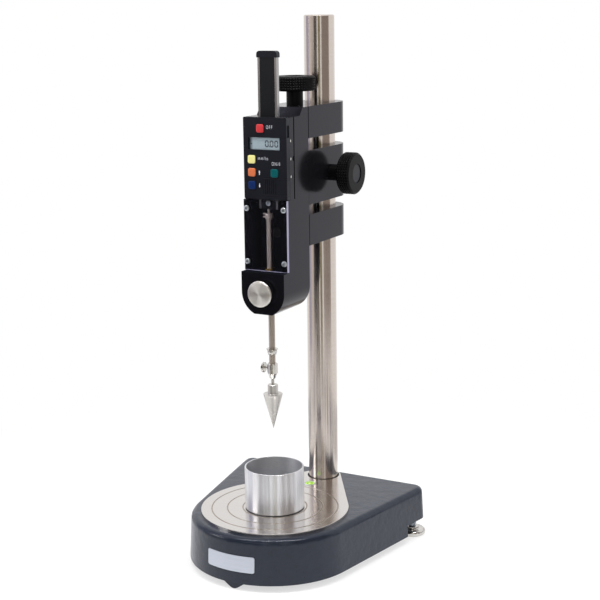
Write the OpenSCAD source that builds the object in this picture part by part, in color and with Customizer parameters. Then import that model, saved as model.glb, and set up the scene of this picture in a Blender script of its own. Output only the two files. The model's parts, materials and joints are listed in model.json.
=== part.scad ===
// Cone penetrometer for soil tests: a heavy base with a levelled work plate, a round column,
// a clamped and finely adjustable head, a released plunger with its cone, and a digital gauge.
// Millimetres, +Z up. The front faces -Y. The origin is on the bench, under the middle of the base.

/* [Base] */
// Radius of the round front of the base, measured at the skirt
base_front_r = 84.5; // [84:0.5:110]
// Distance from the cup axis back to the rear edge of the base
base_reach = 131; // [126:1:150]
// Width of the base across its rear corners
base_rear_w = 214; // [206:1:260]
// Radius of the rear corners, measured at the skirt
base_corner_r = 12; // [11.5:0.5:18]
// Height of the casting from the skirt to its top
base_h = 44.5; // [40:0.5:55]
// Height of the skirt above the bench
ground_gap = 7; // [5:0.5:10]
// Draft of the side walls over their height
base_draft = 2; // [0.5:0.5:3]
// Rounding of the top edge
base_edge_r = 6; // [3:0.5:7]
// Thickness of the skirt
base_wall = 6; // [4:0.5:8]
// Thickness of the casting's top
base_top_t = 8; // [7.5:0.5:12]
// Height of the cut that clears each levelling foot
corner_cut_h = 11.5; // [8:0.5:13]
// Distance from the cup axis back to the start of that cut
corner_cut_start = 92; // [84:0.5:100]
// Distance from the middle of the base to the side of that cut
corner_cut_x = 74; // [60:1:80]
// Width of the fixed front foot where it leaves the skirt
lug_w = 26; // [18:1:34]
// Width of the tip of the fixed front foot
lug_tip_w = 6; // [4:0.5:10]
// Distance from the front of the base back to the tip of the fixed foot
lug_inset = 6; // [5:0.5:14]

/* [Front plate] */
// Width of the bare plate on the front of the base
label_w = 51.5; // [30:0.5:52]
// Height of the bare plate
label_h = 15.8; // [10:0.2:18]
// Thickness of the bare plate
label_t = 0.5; // [0.3:0.1:0.5]
// Sideways place of the bare plate, which was stuck on by hand
label_x = -2.8; // [-4:0.1:4]
// Height of the middle of the bare plate above the skirt
label_z = 19.6; // [16:0.2:21]
// Radius of the bare plate's corners
label_r = 2; // [1:0.5:4]

/* [Work plate] */
// Radius of the round part of the plate
plate_r = 72.5; // [66:0.5:76]
// Radius of the plate's tail round the column
plate_tail_r = 18; // [17.5:0.5:24]
// Thickness of the plate
plate_t = 4; // [3.5:0.5:6]
// Height of the plate above the casting
plate_proud = 2.5; // [1:0.5:3]
// Radius of the innermost centring groove
groove_first_r = 31.5; // [30:0.5:34]
// Step from one centring groove to the next
groove_pitch = 15.2; // [12:0.2:16]
// Number of centring grooves
groove_count = 3; // [1:1:3]
// Width of a centring groove
groove_w = 1.2; // [0.8:0.1:1.6]
// Depth of a centring groove
groove_depth = 0.4; // [0.2:0.1:0.8]
// Gap between the plate and the column
plate_column_gap = 1.5; // [1:0.1:2.5]
// Radius of the circle of the screws that hold the plate from below
plate_screw_circle = 55; // [50:1:58]
// Diameter of those screws
plate_screw_d = 4; // [3:0.5:5]

/* [Spirit level] */
// Diameter of the round level
level_d = 12; // [10:0.5:14]
// Height of the level's case
level_h = 7.6; // [6:0.1:7.8]
// Wall of the level's case
level_wall = 1; // [0.8:0.1:1.5]
// Height of the level above the plate
level_proud = 0.4; // [0.2:0.1:0.8]
// Distance from the cup axis back to the level
level_offset = 73; // [70:0.5:76]

/* [Column] */
// Diameter of the column
column_d = 30; // [26:1:32]
// Length of the column
column_len = 500; // [480:5:560]
// Depth of the column in the base
column_depth = 25; // [20:1:28]
// Distance from the cup axis back to the column
column_offset = 103.6; // [101:0.2:106]
// Chamfer on the column's top
column_chamfer = 1; // [0.5:0.1:2]
// Diameter of the boss that holds the column
boss_d = 38; // [36:1:38]
// Thickness of the rib from that boss to the rear wall
boss_rib_t = 12; // [8:1:18]
// Diameter of the bolt that holds the column from below
bolt_d = 10; // [8:1:12]
// Length of the bolt's shank
bolt_len = 29; // [25:1:32]
// Width across flats of the bolt's head
bolt_flats = 17; // [15:1:18]
// Height of the bolt's head
bolt_head_h = 6.4; // [5:0.1:6.6]
// Diameter of the washer under the bolt's head
washer_d = 21; // [19:1:22]
// Thickness of that washer
washer_t = 2; // [1.5:0.1:2.5]
// Thickness of the web that the bolt clamps
bolt_web = 7; // [5:0.5:8]

/* [Levelling feet] */
// Diameter of a foot's disc
foot_disc_d = 27; // [22:0.5:30]
// Thickness of a foot's disc
foot_disc_h = 6.5; // [5:0.5:7]
// Diameter of the hub on the disc
foot_hub_d = 13; // [11:0.5:16]
// Height of the hub on the disc
foot_hub_h = 2.5; // [1:0.5:3]
// Diameter of the levelling screw
foot_stud_d = 8; // [6:1:10]
// Length of the levelling screw
foot_stud_len = 34; // [30:1:36]
// Depth of the levelling screw in its disc
foot_socket = 5; // [3:0.5:6]
// Diameter of the boss that the levelling screw turns in
foot_boss_d = 18; // [14:1:18]

/* [Carriage] */
// Height of the middle of the clamp block above the plate
carriage_height = 321.5; // [312:0.5:340]
// Width of the clamp block, the arms and the head
carriage_w = 46; // [43.5:0.5:48]
// Height of the clamp block
block_h = 52; // [48:1:56]
// Height of each arm
arm_h = 30; // [26:1:32]
// Gap from the clamp block up to the upper arm, which is the room for fine adjustment downwards
fine_gap = 11.4; // [10:0.2:13]
// Gap from the clamp block down to the lower arm, which is the room for fine adjustment upwards
lower_gap = 9.4; // [9.4:0.2:13]
// Relief of an arm's edges where it meets the head, which shows there as a dark line
joint_relief = 0.5; // [0.3:0.1:0.8]
// Distance from the cup axis back to the fine adjustment screw
fine_screw_offset = 52; // [50:0.5:56]
// Diameter of the fine adjustment screw
fine_screw_d = 8; // [6:0.5:8]
// Depth of the fine adjustment screw in the lower arm
fine_screw_depth = 13; // [10:0.5:14]
// Diameter of the brass nut in the clamp block
nut_d = 14; // [12:0.5:16]
// Length of that nut
nut_len = 20; // [15:1:30]
// Diameter of the collar that holds the screw up in the upper arm
collar_d = 14; // [12:0.5:16]
// Height of that collar
collar_h = 4.8; // [4:0.2:6]
// Distance from the column's surface forward to the axis of the lock
lock_offset = 4.6; // [4.4:0.1:5]
// Diameter of the lock's two cotters
cotter_d = 14; // [12.5:0.5:15.5]
// Gap between the two cotters
cotter_gap = 4; // [3:0.5:6]
// Length of the inner cotter
cotter_len = 14; // [12:0.5:15]
// Room behind the inner cotter for unlocking
cotter_room = 1; // [0.8:0.1:2]
// Diameter of the lock's screw
lock_stud_d = 8; // [6:0.5:8]
// Diameter of the screw that holds each arm to the head
arm_screw_d = 6; // [5:0.5:6]
// Depth of that screw in its arm
arm_screw_depth = 9.5; // [8:0.5:10]
// Diameter of the dowels between head and arms
dowel_d = 5; // [4:0.5:6]
// Depth of a dowel on each side of the joint
dowel_depth = 8; // [6:0.5:10]
// Distance from the middle to each dowel
dowel_x = 14; // [12:0.5:16]

/* [Knobs] */
// Diameter of each knob over its knurl
knob_d = 41; // [34:1:42]
// Thickness of a knob's disc
knob_t = 13.8; // [11:0.2:16]
// Diameter of a knob's stem
knob_stem_d = 16; // [15:0.5:18]
// Length of a knob's stem
knob_stem_h = 13.4; // [10:0.2:16]
// Chamfer on a knob's disc
knob_chamfer = 1; // [0.5:0.1:1.5]
// Diameter of the recess in a knob's face
knob_recess_d = 18.5; // [14:0.5:22]
// Depth of that recess
knob_recess_depth = 3; // [2:0.2:5]
// Depth of a screw in its knob
knob_screw_depth = 20; // [16:0.5:21]
// Number of knurl points round a knob
knurl_columns = 48; // [30:2:60]
// Number of knurl rows across a knob's rim
knurl_rows = 5; // [3:1:6]
// Height of the knurl's points
knurl_depth = 0.9; // [0.4:0.1:1.2]

/* [Head] */
// Height of the head from its top to the flat under its nose
head_h = 192.1; // [188:0.1:195]
// Distance from the cup axis back to the head's rear face
head_back = 35.4; // [34:0.2:38]
// Distance from the cup axis forward to the nose's face
nose_front = 15.9; // [14:0.1:18]
// Distance from the button's axis down to the flat under the nose
nose_flat = 20.9; // [19:0.1:21.5]
// Distance from the button's axis up to the top of the nose
nose_rise = 19.1; // [18:0.1:21]
// Distance from the cup axis forward to the face behind the window
window_face = 5.3; // [5:0.1:6]
// Distance from the cup axis back to the face behind the gauge
gauge_face = 8.06; // [7.8:0.02:9]
// Depth of the ledge above the gauge
ledge_depth = 11; // [9:0.2:13]
// Depth of the slope above the ledge
slope_run = 5.8; // [4:0.2:8]
// Height of the slope above the ledge
slope_rise = 7.5; // [6:0.1:10]
// Width of the hollow behind the window
cavity_w = 33; // [31:0.5:34]
// Distance from the cup axis back to the rear of that hollow
cavity_back = 13; // [11:0.5:15]
// Outer diameter of the plunger's bushes
bush_d = 8; // [7:0.5:9]
// Length of a bush
bush_len = 10; // [8:0.5:12]
// Diameter of the upper bush's flange
bush_flange_d = 9.5; // [9.2:0.1:12]
// Thickness of that flange
bush_flange_t = 2.4; // [1.5:0.1:3]

/* [Window] */
// Thickness of the clear cover
window_t = 3.5; // [3:0.5:6]
// Gap above and below the clear cover
window_gap = 0.4; // [0.2:0.1:1]
// Distance from the cover's sides to its screws
window_screw_side = 3.1; // [2.9:0.1:3.2]
// Distance from the cover's top and bottom to its screws
window_screw_end = 8.4; // [6:0.2:12]
// Diameter of the small screws
screw_d = 3; // [2.5:0.1:3]
// Diameter of a small screw's head
screw_head_d = 5.6; // [5:0.1:6]
// Height of a small screw's head
screw_head_h = 1.9; // [1.5:0.1:2.4]
// Depth of a cover screw in the head
screw_depth = 8; // [6:0.5:12]

/* [Gauge] */
// Height of the gauge
gauge_h = 76.2; // [74:0.2:78]
// Distance from the cup axis forward to the gauge's face
gauge_front = 7; // [6.8:0.1:7.4]
// Depth of the gauge's front case
case_depth = 5.8; // [5.6:0.1:6]
// Thickness of the case's front
case_front = 1.6; // [1.2:0.1:1.8]
// Thickness of the case's sides
case_side = 2; // [1.5:0.1:2.4]
// Corner radius of the case
case_corner_r = 1; // [0.5:0.1:1.4]
// Width of the display
lcd_w = 33; // [30:0.5:35]
// Height of the display
lcd_h = 11.2; // [9:0.2:12]
// Sideways place of the display
lcd_x = -1.1; // [-1.5:0.1:0]
// Height of the display's middle above the gauge's bottom
lcd_z = 51.9; // [50.5:0.1:53]
// Depth of the display below the case's face
lcd_recess = 1.3; // [0.4:0.1:1.4]
// Thickness of the circuit board
board_t = 1.2; // [0.8:0.1:1.4]
// Width of the battery cover
cover_w = 25.1; // [23:0.1:26]
// Height of the battery cover
cover_h = 15.2; // [14:0.1:16]
// Height of the battery cover above the gauge's bottom
cover_z = 4.4; // [3.8:0.1:4.6]
// Thickness of the battery cover
cover_t = 1.4; // [1:0.1:1.5]
// Number of finger ribs on the battery cover
rib_count = 6; // [4:1:7]
// Diameter of the battery
battery_d = 11.6; // [9.5:0.1:12]
// Thickness of the battery
battery_t = 3.9; // [3:0.1:3.9]
// Width of the data socket in the gauge's side
port_w = 4; // [3:0.2:4.4]
// Height of the data socket
port_h = 11.2; // [9:0.2:12]
// Height of the data socket's middle above the gauge's bottom
port_z = 63.5; // [61:0.5:65]
// Number of gib screws in the gauge's side
gib_screw_count = 3; // [2:1:3]
// Step from one gib screw to the next
gib_screw_pitch = 16.6; // [14:0.2:18]
// Height of the middle gib screw above the gauge's bottom
gib_z = 38; // [36:0.5:40]
// Thickness of the gib strip
gib_t = 1.5; // [1:0.1:2]
// Depth of a gib screw below the gauge's side
gib_recess = 0.4; // [0.3:0.1:1.5]
// Width and depth of the groove that parts the gauge from the head
slider_groove = 0.9; // [0.5:0.1:1.2]
// Height of the notch beside the middle gib screw
gib_notch_h = 4.4; // [3:0.1:6]
// Distance from the gauge's rear face forward to the end of that notch
gib_notch_w = 3; // [2:0.1:3.4]
// Depth of that notch
gib_notch_depth = 1.5; // [1:0.1:2]
// Diameter of the screws that hold the gauge to the head
gauge_screw_d = 4; // [3:0.5:4]
// Distance from the middle to each of those screws
gauge_screw_x = 16; // [15.5:0.5:18]
// Height of the gauge's fixing screws above its lower edge
gauge_screw_z = 17.3; // [16:0.1:17.3]
// Depth of those screws in the gauge
gauge_screw_depth = 6; // [4:0.5:7]

/* [Keys] */
// Width and height of a key
key_w = 7.8; // [7:0.1:9]
// Corner radius of a key
key_corner_r = 1.8; // [0.5:0.1:2]
// Height of a key above the gauge's face
key_proud = 1; // [0.8:0.1:1.4]
// Travel of a key
key_travel = 0.6; // [0.4:0.1:0.7]
// Sideways place of the left column of keys
key_left_x = -14.4; // [-14.8:0.1:-14]
// Height of the lowest key's middle above the gauge's bottom
key_low_z = 12.8; // [12:0.1:14]
// Step from one key to the next
key_pitch = 12.1; // [11.5:0.1:12.5]
// Sideways place of the zero key
zero_key_x = 9.8; // [9:0.1:11]
// Sideways place of the off key
off_key_x = -4.9; // [-6:0.1:0]
// Height of the off key's middle above the gauge's bottom
off_key_z = 66; // [65:0.1:67]

/* [Beam] */
// Width of the scale beam
beam_w = 20; // [18:0.5:20.5]
// Thickness of the scale beam
beam_t = 4.5; // [4:0.1:5]
// Distance from the cup axis forward to the beam's face
beam_front = 0.5; // [0.3:0.1:0.9]
// Length of the scale beam
beam_len = 143; // [136:1:160]
// Width of the dark strip in the beam's face
strip_w = 15.5; // [12:0.5:16]
// Thickness of that strip
strip_t = 0.8; // [0.5:0.1:1.2]
// Width of the cap on the beam's top
cap_w = 21.5; // [21.2:0.1:26]
// Depth of that cap
cap_depth = 6; // [5.8:0.1:9]
// Height of that cap over the beam
cap_h = 3; // [2:0.5:5]
// Depth of the beam in its cap
cap_socket = 3; // [2:0.5:5]

/* [Plunger] */
// Diameter of the plunger
plunger_d = 6; // [5:0.1:6.4]
// Distance from the gauge's lower edge down to the top of the plunger
plunger_gap = 9.6; // [7.2:0.2:12.2]
// Diameter of the pin on the plunger's top
pin_d = 3; // [2.5:0.1:4]
// Height of that pin
pin_h = 4.1; // [3:0.1:6]
// Diameter of the lug piece under that pin
lug_piece_d = 7.6; // [7.2:0.1:9]
// Height of the lug piece
lug_piece_h = 4; // [3:0.1:5]
// Reach of its ear to the left of the plunger
ear_reach = 5.8; // [5.4:0.1:8]
// Thickness of that ear
ear_t = 3; // [2:0.1:4]
// Diameter of the hole in that ear
ear_hole_d = 2.2; // [1.6:0.1:2.4]
// Height of the stop collar's foot above the plate
stop_height = 154.5; // [152:0.5:160]
// Diameter of the stop collar's rim
stop_rim_d = 11.3; // [10.5:0.1:13]
// Diameter of the stop collar's body
stop_body_d = 9.5; // [8:0.1:10]
// Height of the stop collar
stop_h = 5.7; // [4:0.1:8]
// Diameter of the cone chuck
chuck_d = 10; // [9:0.1:12]
// Length of the cone chuck
chuck_len = 15.3; // [14:0.1:18]
// Diameter of the chuck's tip
chuck_tip_d = 5.7; // [5:0.1:7]
// Length of the chuck's tapered tip
chuck_tip_h = 4.3; // [3:0.1:5]
// Diameter of the thumb screw's head
thumb_d = 10; // [8:0.1:12]
// Thickness of the thumb screw's head
thumb_t = 2.6; // [2:0.1:4]
// Gap between the thumb screw's head and the chuck
thumb_gap = 3.2; // [2:0.1:5]

/* [Cone] */
// Height of the cone's tip above the plate
cone_tip_height = 80.3; // [78:0.1:84]
// Angle of the cone's point
cone_angle = 30; // [25:1:34]
// Length of the cone
cone_len = 35; // [32:0.5:37]
// Diameter of the hub on the cone
hub_d = 10; // [8:0.1:11]
// Height of that hub
hub_h = 9.2; // [8:0.1:10]
// Diameter of the cone's shank
shank_d = 3; // [2.5:0.1:3.4]
// Depth of the shank in the chuck
shank_depth = 10; // [8:0.5:11]
// Gap between the hub and the chuck
shank_gap = 6.2; // [5:0.1:8]

/* [Cup] */
// Outer diameter of the sample cup
cup_d = 58; // [54:0.5:60]
// Height of the sample cup
cup_h = 42; // [38:0.5:46]
// Wall of the sample cup
cup_wall = 1.5; // [1:0.1:2.5]
// Thickness of the sample cup's bottom
cup_floor = 2; // [1:0.1:3]

/* [Release button] */
// Diameter of the button's bright cap
button_d = 25; // [22:0.5:28]
// Distance from the nose's face to the front of the cap's rim
button_stand = 7; // [6:0.1:9]
// Thickness of the cap's rim
button_rim = 2; // [1.5:0.1:2.5]
// Height of the cap's dome over its rim
button_dome = 1.6; // [1:0.1:2.5]
// Diameter of the sleeve behind the cap
sleeve_d = 24; // [20:0.5:25]
// Depth of the sleeve in the nose
sleeve_depth = 1.5; // [1:0.1:2]
// Travel of the button
button_travel = 3; // [2:0.1:3.2]
// Diameter of the gripping shaft behind the button
shaft_d = 12; // [10.5:0.5:13]
// Length of the gripping shaft behind the plunger's axis
shaft_tail = 9; // [7:0.5:10]
// Length of the return spring's room
spring_room = 14; // [13.8:0.1:15]
// Mean diameter of the return spring
spring_d = 8; // [7:0.1:9]
// Diameter of the spring's wire
spring_wire = 1.2; // [0.8:0.1:1.3]
// Number of turns in the spring
spring_turns = 5; // [4:1:6]

/* [Clearances] */
// Radial gap of every shaft, pin or screw that turns or slides in its bore
running = 0.05; // [0.03:0.01:0.08]
// Gap round a piece that is set in a recess or socket
seat_gap = 0.1; // [0.05:0.01:0.2]
// Gap between the clamp block and the head
slide_gap = 0.3; // [0.2:0.1:0.6]

/* [Hidden] */
$fn = 64;
// Facets of the rounded corners of the casting
front_facets = 96;
corner_facets = 32;
edge_steps = 4;
// Depth by which a cut runs past the face that it opens
past = 1;
// Depth by which a straight side dips into the circles that it joins
tangent_dip = 0.02;

casting_blue = "#3a414c";
ground_steel = "#b9b2a8";
polished_steel = "#c9c8c4";
black_anodised = "#2c2c30";
black_plastic = "#1e1f22";
spun_aluminium = "#cfcfd2";
brass = "#b99a4e";
zinc = "#a9adb2";
clear_acrylic = "#d8d8ec";
level_green = "#8fbf2f";

// Places across the width
foot_x = base_rear_w / 2 - base_corner_r;

// Places along the depth
foot_offset = base_reach - base_corner_r;
rear_reach = max(base_reach, foot_offset + foot_disc_d / 2);
axis_y = (base_front_r - rear_reach) / 2;
column_y = axis_y + column_offset;
foot_y = axis_y + foot_offset;
level_y = axis_y + level_offset;
fine_screw_y = axis_y + fine_screw_offset;
lock_y = column_y - column_d / 2 - lock_offset;
head_back_y = axis_y + head_back;
nose_y = axis_y - nose_front;
window_y = axis_y - window_face;
gauge_back_y = axis_y + gauge_face;
gauge_front_y = axis_y - gauge_front;
case_seam_y = gauge_front_y + case_depth;
case_inner_y = gauge_front_y + case_front;
cavity_back_y = axis_y + cavity_back;
beam_front_y = axis_y - beam_front;
beam_back_y = beam_front_y + beam_t;

// Heights
base_top = ground_gap + base_h;
base_ceiling = base_top - base_top_t;
plate_top = base_top + plate_proud;
plate_bottom = plate_top - plate_t;
column_foot = base_top - column_depth;
column_top = column_foot + column_len;
washer_top = column_foot - bolt_web;
bolt_head_top = washer_top - washer_t;
boss_bottom = bolt_head_top - bolt_head_h;
foot_boss_bottom = ground_gap + corner_cut_h;
carriage_z = plate_top + carriage_height;
block_bottom = carriage_z - block_h / 2;
block_top = carriage_z + block_h / 2;
upper_arm_z = block_top + fine_gap;
lower_arm_z = block_bottom - lower_gap - arm_h;
head_top = upper_arm_z + arm_h;
gauge_top = head_top - slope_rise;
gauge_bottom = gauge_top - gauge_h;
nose_bottom = head_top - head_h;
nose_axis_z = nose_bottom + nose_flat;
nose_top = nose_axis_z + nose_rise;
window_bottom = nose_top + window_gap;
window_top = gauge_bottom - window_gap;
plunger_top_z = gauge_bottom - plunger_gap;
lug_piece_top = plunger_top_z - pin_h;
lug_piece_z = lug_piece_top - lug_piece_h;
beam_top = plunger_top_z + beam_len;
stop_z = plate_top + stop_height;
cone_tip_z = plate_top + cone_tip_height;
cone_base_z = cone_tip_z + cone_len;
hub_top = cone_base_z + hub_h;
chuck_z = hub_top + shank_gap;
chuck_top = chuck_z + chuck_len;
thumb_z = chuck_z + (chuck_tip_h + chuck_len) / 2;

// Sizes that follow from fits
half_w = carriage_w / 2;
cone_d = 2 * cone_len * tan(cone_angle / 2);
knurl_root_r = knob_d / 2 - knurl_depth;
fine_screw_foot = lower_arm_z + arm_h - fine_screw_depth;
fine_screw_top = head_top + knob_screw_depth;
lock_stud_tip = -cotter_gap / 2 - cotter_len;
cotter_bore_end = lock_stud_tip - cotter_room;
lock_stud_head = half_w + knob_screw_depth;
key_flange = 0.7;
key_flange_t = 0.8;
board_front_y = case_seam_y - seat_gap - board_t;
key_back_y = board_front_y - key_travel - seat_gap;
shaft_back_y = axis_y + shaft_tail;
spring_end_y = shaft_back_y + spring_room;
sleeve_back_y = nose_y + sleeve_depth;
sleeve_front_y = nose_y - button_stand + button_rim;
channel_right = beam_w / 2 + gib_t + 2 * running;

// Shapes that repeat

// A flat outline in X and Z, made solid from y0 to y1
module slab_y(y0, y1) {
    translate([0, y1, 0])
        rotate([90, 0, 0])
            linear_extrude(y1 - y0)
                children();
}

// A flat outline in Y and Z, made solid from x0 to x1
module slab_x(x0, x1) {
    translate([x0, 0, 0])
        rotate([90, 0, 90])
            linear_extrude(x1 - x0)
                children();
}

module rod_y(d, y0, y1) {
    translate([0, y1, 0])
        rotate([90, 0, 0])
            cylinder(d = d, h = y1 - y0);
}

module rod_x(d, x0, x1) {
    translate([x0, 0, 0])
        rotate([0, 90, 0])
            cylinder(d = d, h = x1 - x0);
}

module round_rect(w, h, r) {
    square([w, h - 2 * r], center = true);
    square([w - 2 * r, h], center = true);
    for (sx = [-1, 1], sz = [-1, 1])
        translate([sx * (w / 2 - r), sz * (h / 2 - r)])
            circle(r);
}

// A box given by its lowest and highest corners
module span(low, high) {
    translate(low)
        cube(high - low);
}

// Two circles on one line in Y, joined by their common tangents
module teardrop_outline(r1, r2, distance) {
    lean = asin((r1 - r2) / distance);
    normal = [cos(lean), sin(lean)];
    first = (r1 - tangent_dip) * normal;
    second = [0, distance] + (r2 - tangent_dip) * normal;
    circle(r1);
    translate([0, distance])
        circle(r2);
    polygon([first, second, [-second.x, second.y], [-first.x, first.y]]);
}

// A cap screw along +Y: its head starts at y = 0 and its tip is at y = reach
module cap_screw(d, head_d, head_h, reach) {
    rod_y(head_d, 0, head_h);
    rod_y(d, 0, reach);
}

// A pan head screw along +Y: its head stands in front of y = 0
module pan_screw(d, head_d, head_h, reach) {
    rod_y(d, -head_h / 2, reach);
    rotate([90, 0, 0])
        rotate_extrude()
            intersection() {
                translate([0, -head_h])
                    scale_dome(head_d, head_h);
                square([head_d / 2, head_h]);
            }
}

// The section of a low dome of the given width, flat below
module scale_dome(w, h) {
    r = (w * w / 4 + 4 * h * h) / (4 * h);
    translate([0, 2 * h - r])
        circle(r);
}

// Base

module base_puck(r, facets) {
    inner = r - base_draft - base_edge_r;
    shoulder = base_h - base_edge_r;
    rotate_extrude($fn = facets)
        polygon(concat(
            [[0, 0], [r, 0]],
            [for (i = [0 : edge_steps]) let (a = 90 * i / edge_steps)
                [inner + base_edge_r * cos(a), shoulder + base_edge_r * sin(a)]],
            [[0, base_h]]
        ));
}

module at_rear_corners() {
    for (side = [-1, 1])
        translate([side * foot_x, foot_y, 0])
            children();
}

module base_outer() {
    translate([0, 0, ground_gap])
        hull() {
            translate([0, axis_y, 0])
                base_puck(base_front_r, front_facets);
            at_rear_corners()
                base_puck(base_corner_r, corner_facets);
        }
}

module base_hollow() {
    depth = base_ceiling - ground_gap;
    front_r = base_front_r - base_wall;
    corner_r = base_corner_r - base_wall;
    translate([0, 0, ground_gap - past])
        hull() {
            translate([0, axis_y, 0])
                cylinder(r1 = front_r, r2 = front_r - base_draft, h = depth + past, $fn = front_facets);
            at_rear_corners()
                cylinder(r1 = corner_r, r2 = corner_r - base_draft, h = depth + past, $fn = corner_facets);
        }
}

module front_lug() {
    translate([0, axis_y, 0])
        intersection() {
            translate([0, lug_inset - base_front_r, 0]) {
                cylinder(d1 = lug_tip_w, d2 = lug_w, h = ground_gap);
                translate([0, 0, ground_gap])
                    cylinder(d = lug_w, h = base_ceiling - ground_gap + past);
            }
            cylinder(r = base_front_r - base_wall / 2, h = base_ceiling + 2 * past);
        }
}

module base_casting() {
    color(casting_blue)
        difference() {
            union() {
                difference() {
                    base_outer();
                    base_hollow();
                }
                front_lug();
                translate([0, column_y, boss_bottom])
                    cylinder(d = boss_d, h = base_ceiling - boss_bottom + past);
                span(
                    [-boss_rib_t / 2, column_y, boss_bottom],
                    [boss_rib_t / 2, axis_y + base_reach - base_wall / 2, base_ceiling + past]
                );
                at_rear_corners()
                    translate([0, 0, foot_boss_bottom])
                        cylinder(d = foot_boss_d, h = base_ceiling - foot_boss_bottom + past);
            }
            for (side = [-1, 1])
                translate([side * base_rear_w, axis_y + corner_cut_start, 0])
                    translate([corner_cut_x - base_rear_w, 0, 0])
                        cube([2 * (base_rear_w - corner_cut_x), rear_reach, foot_boss_bottom]);
            at_rear_corners()
                translate([0, 0, foot_boss_bottom - past])
                    cylinder(d = foot_stud_d + 2 * running, h = base_ceiling - foot_boss_bottom + past);
            translate([0, axis_y, plate_bottom])
                linear_extrude(plate_t)
                    teardrop_outline(plate_r + seat_gap, plate_tail_r + seat_gap, column_offset);
            translate([0, column_y, column_foot])
                cylinder(d = column_d + 2 * running, h = base_h);
            translate([0, column_y, 0])
                cylinder(d = bolt_d + 2 * seat_gap, h = base_top);
            translate([0, column_y, 0])
                cylinder(d = washer_d + 2 * seat_gap, h = washer_top);
            translate([0, level_y, plate_top + level_proud - level_h - seat_gap])
                cylinder(d = level_d + 2 * seat_gap, h = level_h + past);
            at_plate_screws(base_ceiling - past)
                cylinder(d = plate_screw_d + 2 * seat_gap, h = base_h);
        }
}

module front_plate() {
    lean = base_draft / (base_h - base_edge_r);
    back_r = base_front_r - lean * label_z + seat_gap;
    color(spun_aluminium)
        translate([0, axis_y, ground_gap + label_z])
            intersection() {
                rotate_extrude($fn = front_facets)
                    polygon([
                        [back_r + lean * label_h, -label_h],
                        [back_r + lean * label_h + label_t, -label_h],
                        [back_r - lean * label_h + label_t, label_h],
                        [back_r - lean * label_h, label_h]
                    ]);
                translate([label_x, 0, 0])
                    rotate([90, 0, 0])
                        linear_extrude(2 * base_front_r)
                            round_rect(label_w, label_h, label_r);
            }
}

// Work plate, level and column

module at_plate_screws(z) {
    for (turn = [-90, 30, 150])
        translate([0, axis_y, z])
            rotate(turn)
                translate([plate_screw_circle, 0, 0])
                    children();
}

module work_plate() {
    color(ground_steel)
        difference() {
            translate([0, axis_y, plate_bottom])
                linear_extrude(plate_t)
                    teardrop_outline(plate_r, plate_tail_r, column_offset);
            translate([0, column_y, plate_bottom - past])
                cylinder(d = column_d + 2 * plate_column_gap, h = plate_t + 2 * past);
            translate([0, level_y, plate_bottom - past])
                cylinder(d = level_d + 2 * seat_gap, h = plate_t + 2 * past);
            translate([0, axis_y, plate_top - groove_depth])
                for (i = [0 : groove_count - 1])
                    centring_groove(groove_first_r + i * groove_pitch);
            at_plate_screws(plate_bottom - past)
                cylinder(d = plate_screw_d + 2 * running, h = plate_t / 2 + 2 * past);
        }
}

module centring_groove(r) {
    difference() {
        cylinder(r = r + groove_w / 2, h = groove_depth + past);
        translate([0, 0, -past])
            cylinder(r = r - groove_w / 2, h = groove_depth + 3 * past);
    }
}

module plate_screws() {
    head_h = 0.8 * plate_screw_d;
    color(zinc)
        at_plate_screws(base_ceiling - head_h) {
            cylinder(d = 1.75 * plate_screw_d, h = head_h);
            cylinder(d = plate_screw_d, h = head_h + plate_bottom - base_ceiling + plate_t / 2);
        }
}

module level_case() {
    color(spun_aluminium)
        translate([0, level_y, plate_top + level_proud - level_h])
            difference() {
                cylinder(d = level_d, h = level_h);
                translate([0, 0, level_wall])
                    cylinder(d = level_d - 2 * level_wall, h = level_h);
            }
}

module level_vial() {
    color(level_green)
        translate([0, level_y, plate_top + level_proud - level_h + level_wall])
            cylinder(d = level_d - 2 * level_wall - 2 * running, h = level_h - level_wall - level_proud / 2);
}

module column() {
    color(ground_steel)
        translate([0, column_y, 0])
            difference() {
                union() {
                    translate([0, 0, column_foot])
                        cylinder(d = column_d, h = column_len - column_chamfer);
                    translate([0, 0, column_top - column_chamfer])
                        cylinder(d1 = column_d, d2 = column_d - 2 * column_chamfer, h = column_chamfer);
                }
                translate([0, 0, column_foot - past])
                    cylinder(d = bolt_d + 2 * running, h = bolt_len - bolt_web - washer_t + 3 * past);
            }
}

module column_bolt() {
    color(zinc)
        translate([0, column_y, bolt_head_top - bolt_head_h]) {
            cylinder(d = bolt_flats / cos(30), h = bolt_head_h, $fn = 6);
            cylinder(d = bolt_d, h = bolt_head_h + bolt_len);
        }
}

module column_washer() {
    color(zinc)
        translate([0, column_y, bolt_head_top])
            difference() {
                cylinder(d = washer_d, h = washer_t);
                translate([0, 0, -past])
                    cylinder(d = bolt_d + 2 * seat_gap, h = washer_t + 2 * past);
            }
}

// Levelling feet

module foot_screw(side) {
    color(polished_steel)
        translate([side * foot_x, foot_y, foot_disc_h + foot_hub_h - foot_socket + seat_gap])
            cylinder(d = foot_stud_d, h = foot_stud_len);
}

module foot_disc(side) {
    color(polished_steel)
        translate([side * foot_x, foot_y, 0])
            difference() {
                union() {
                    rotate_extrude() {
                        square([(foot_disc_d - foot_disc_h) / 2, foot_disc_h]);
                        translate([(foot_disc_d - foot_disc_h) / 2, foot_disc_h / 2])
                            circle(d = foot_disc_h);
                    }
                    cylinder(d = foot_hub_d, h = foot_disc_h + foot_hub_h);
                }
                translate([0, 0, foot_disc_h + foot_hub_h - foot_socket])
                    cylinder(d = foot_stud_d + 2 * running, h = foot_disc_h + foot_hub_h);
            }
}

module left_foot_screw() { foot_screw(-1); }
module left_foot_disc() { foot_disc(-1); }
module right_foot_screw() { foot_screw(1); }
module right_foot_disc() { foot_disc(1); }

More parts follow.
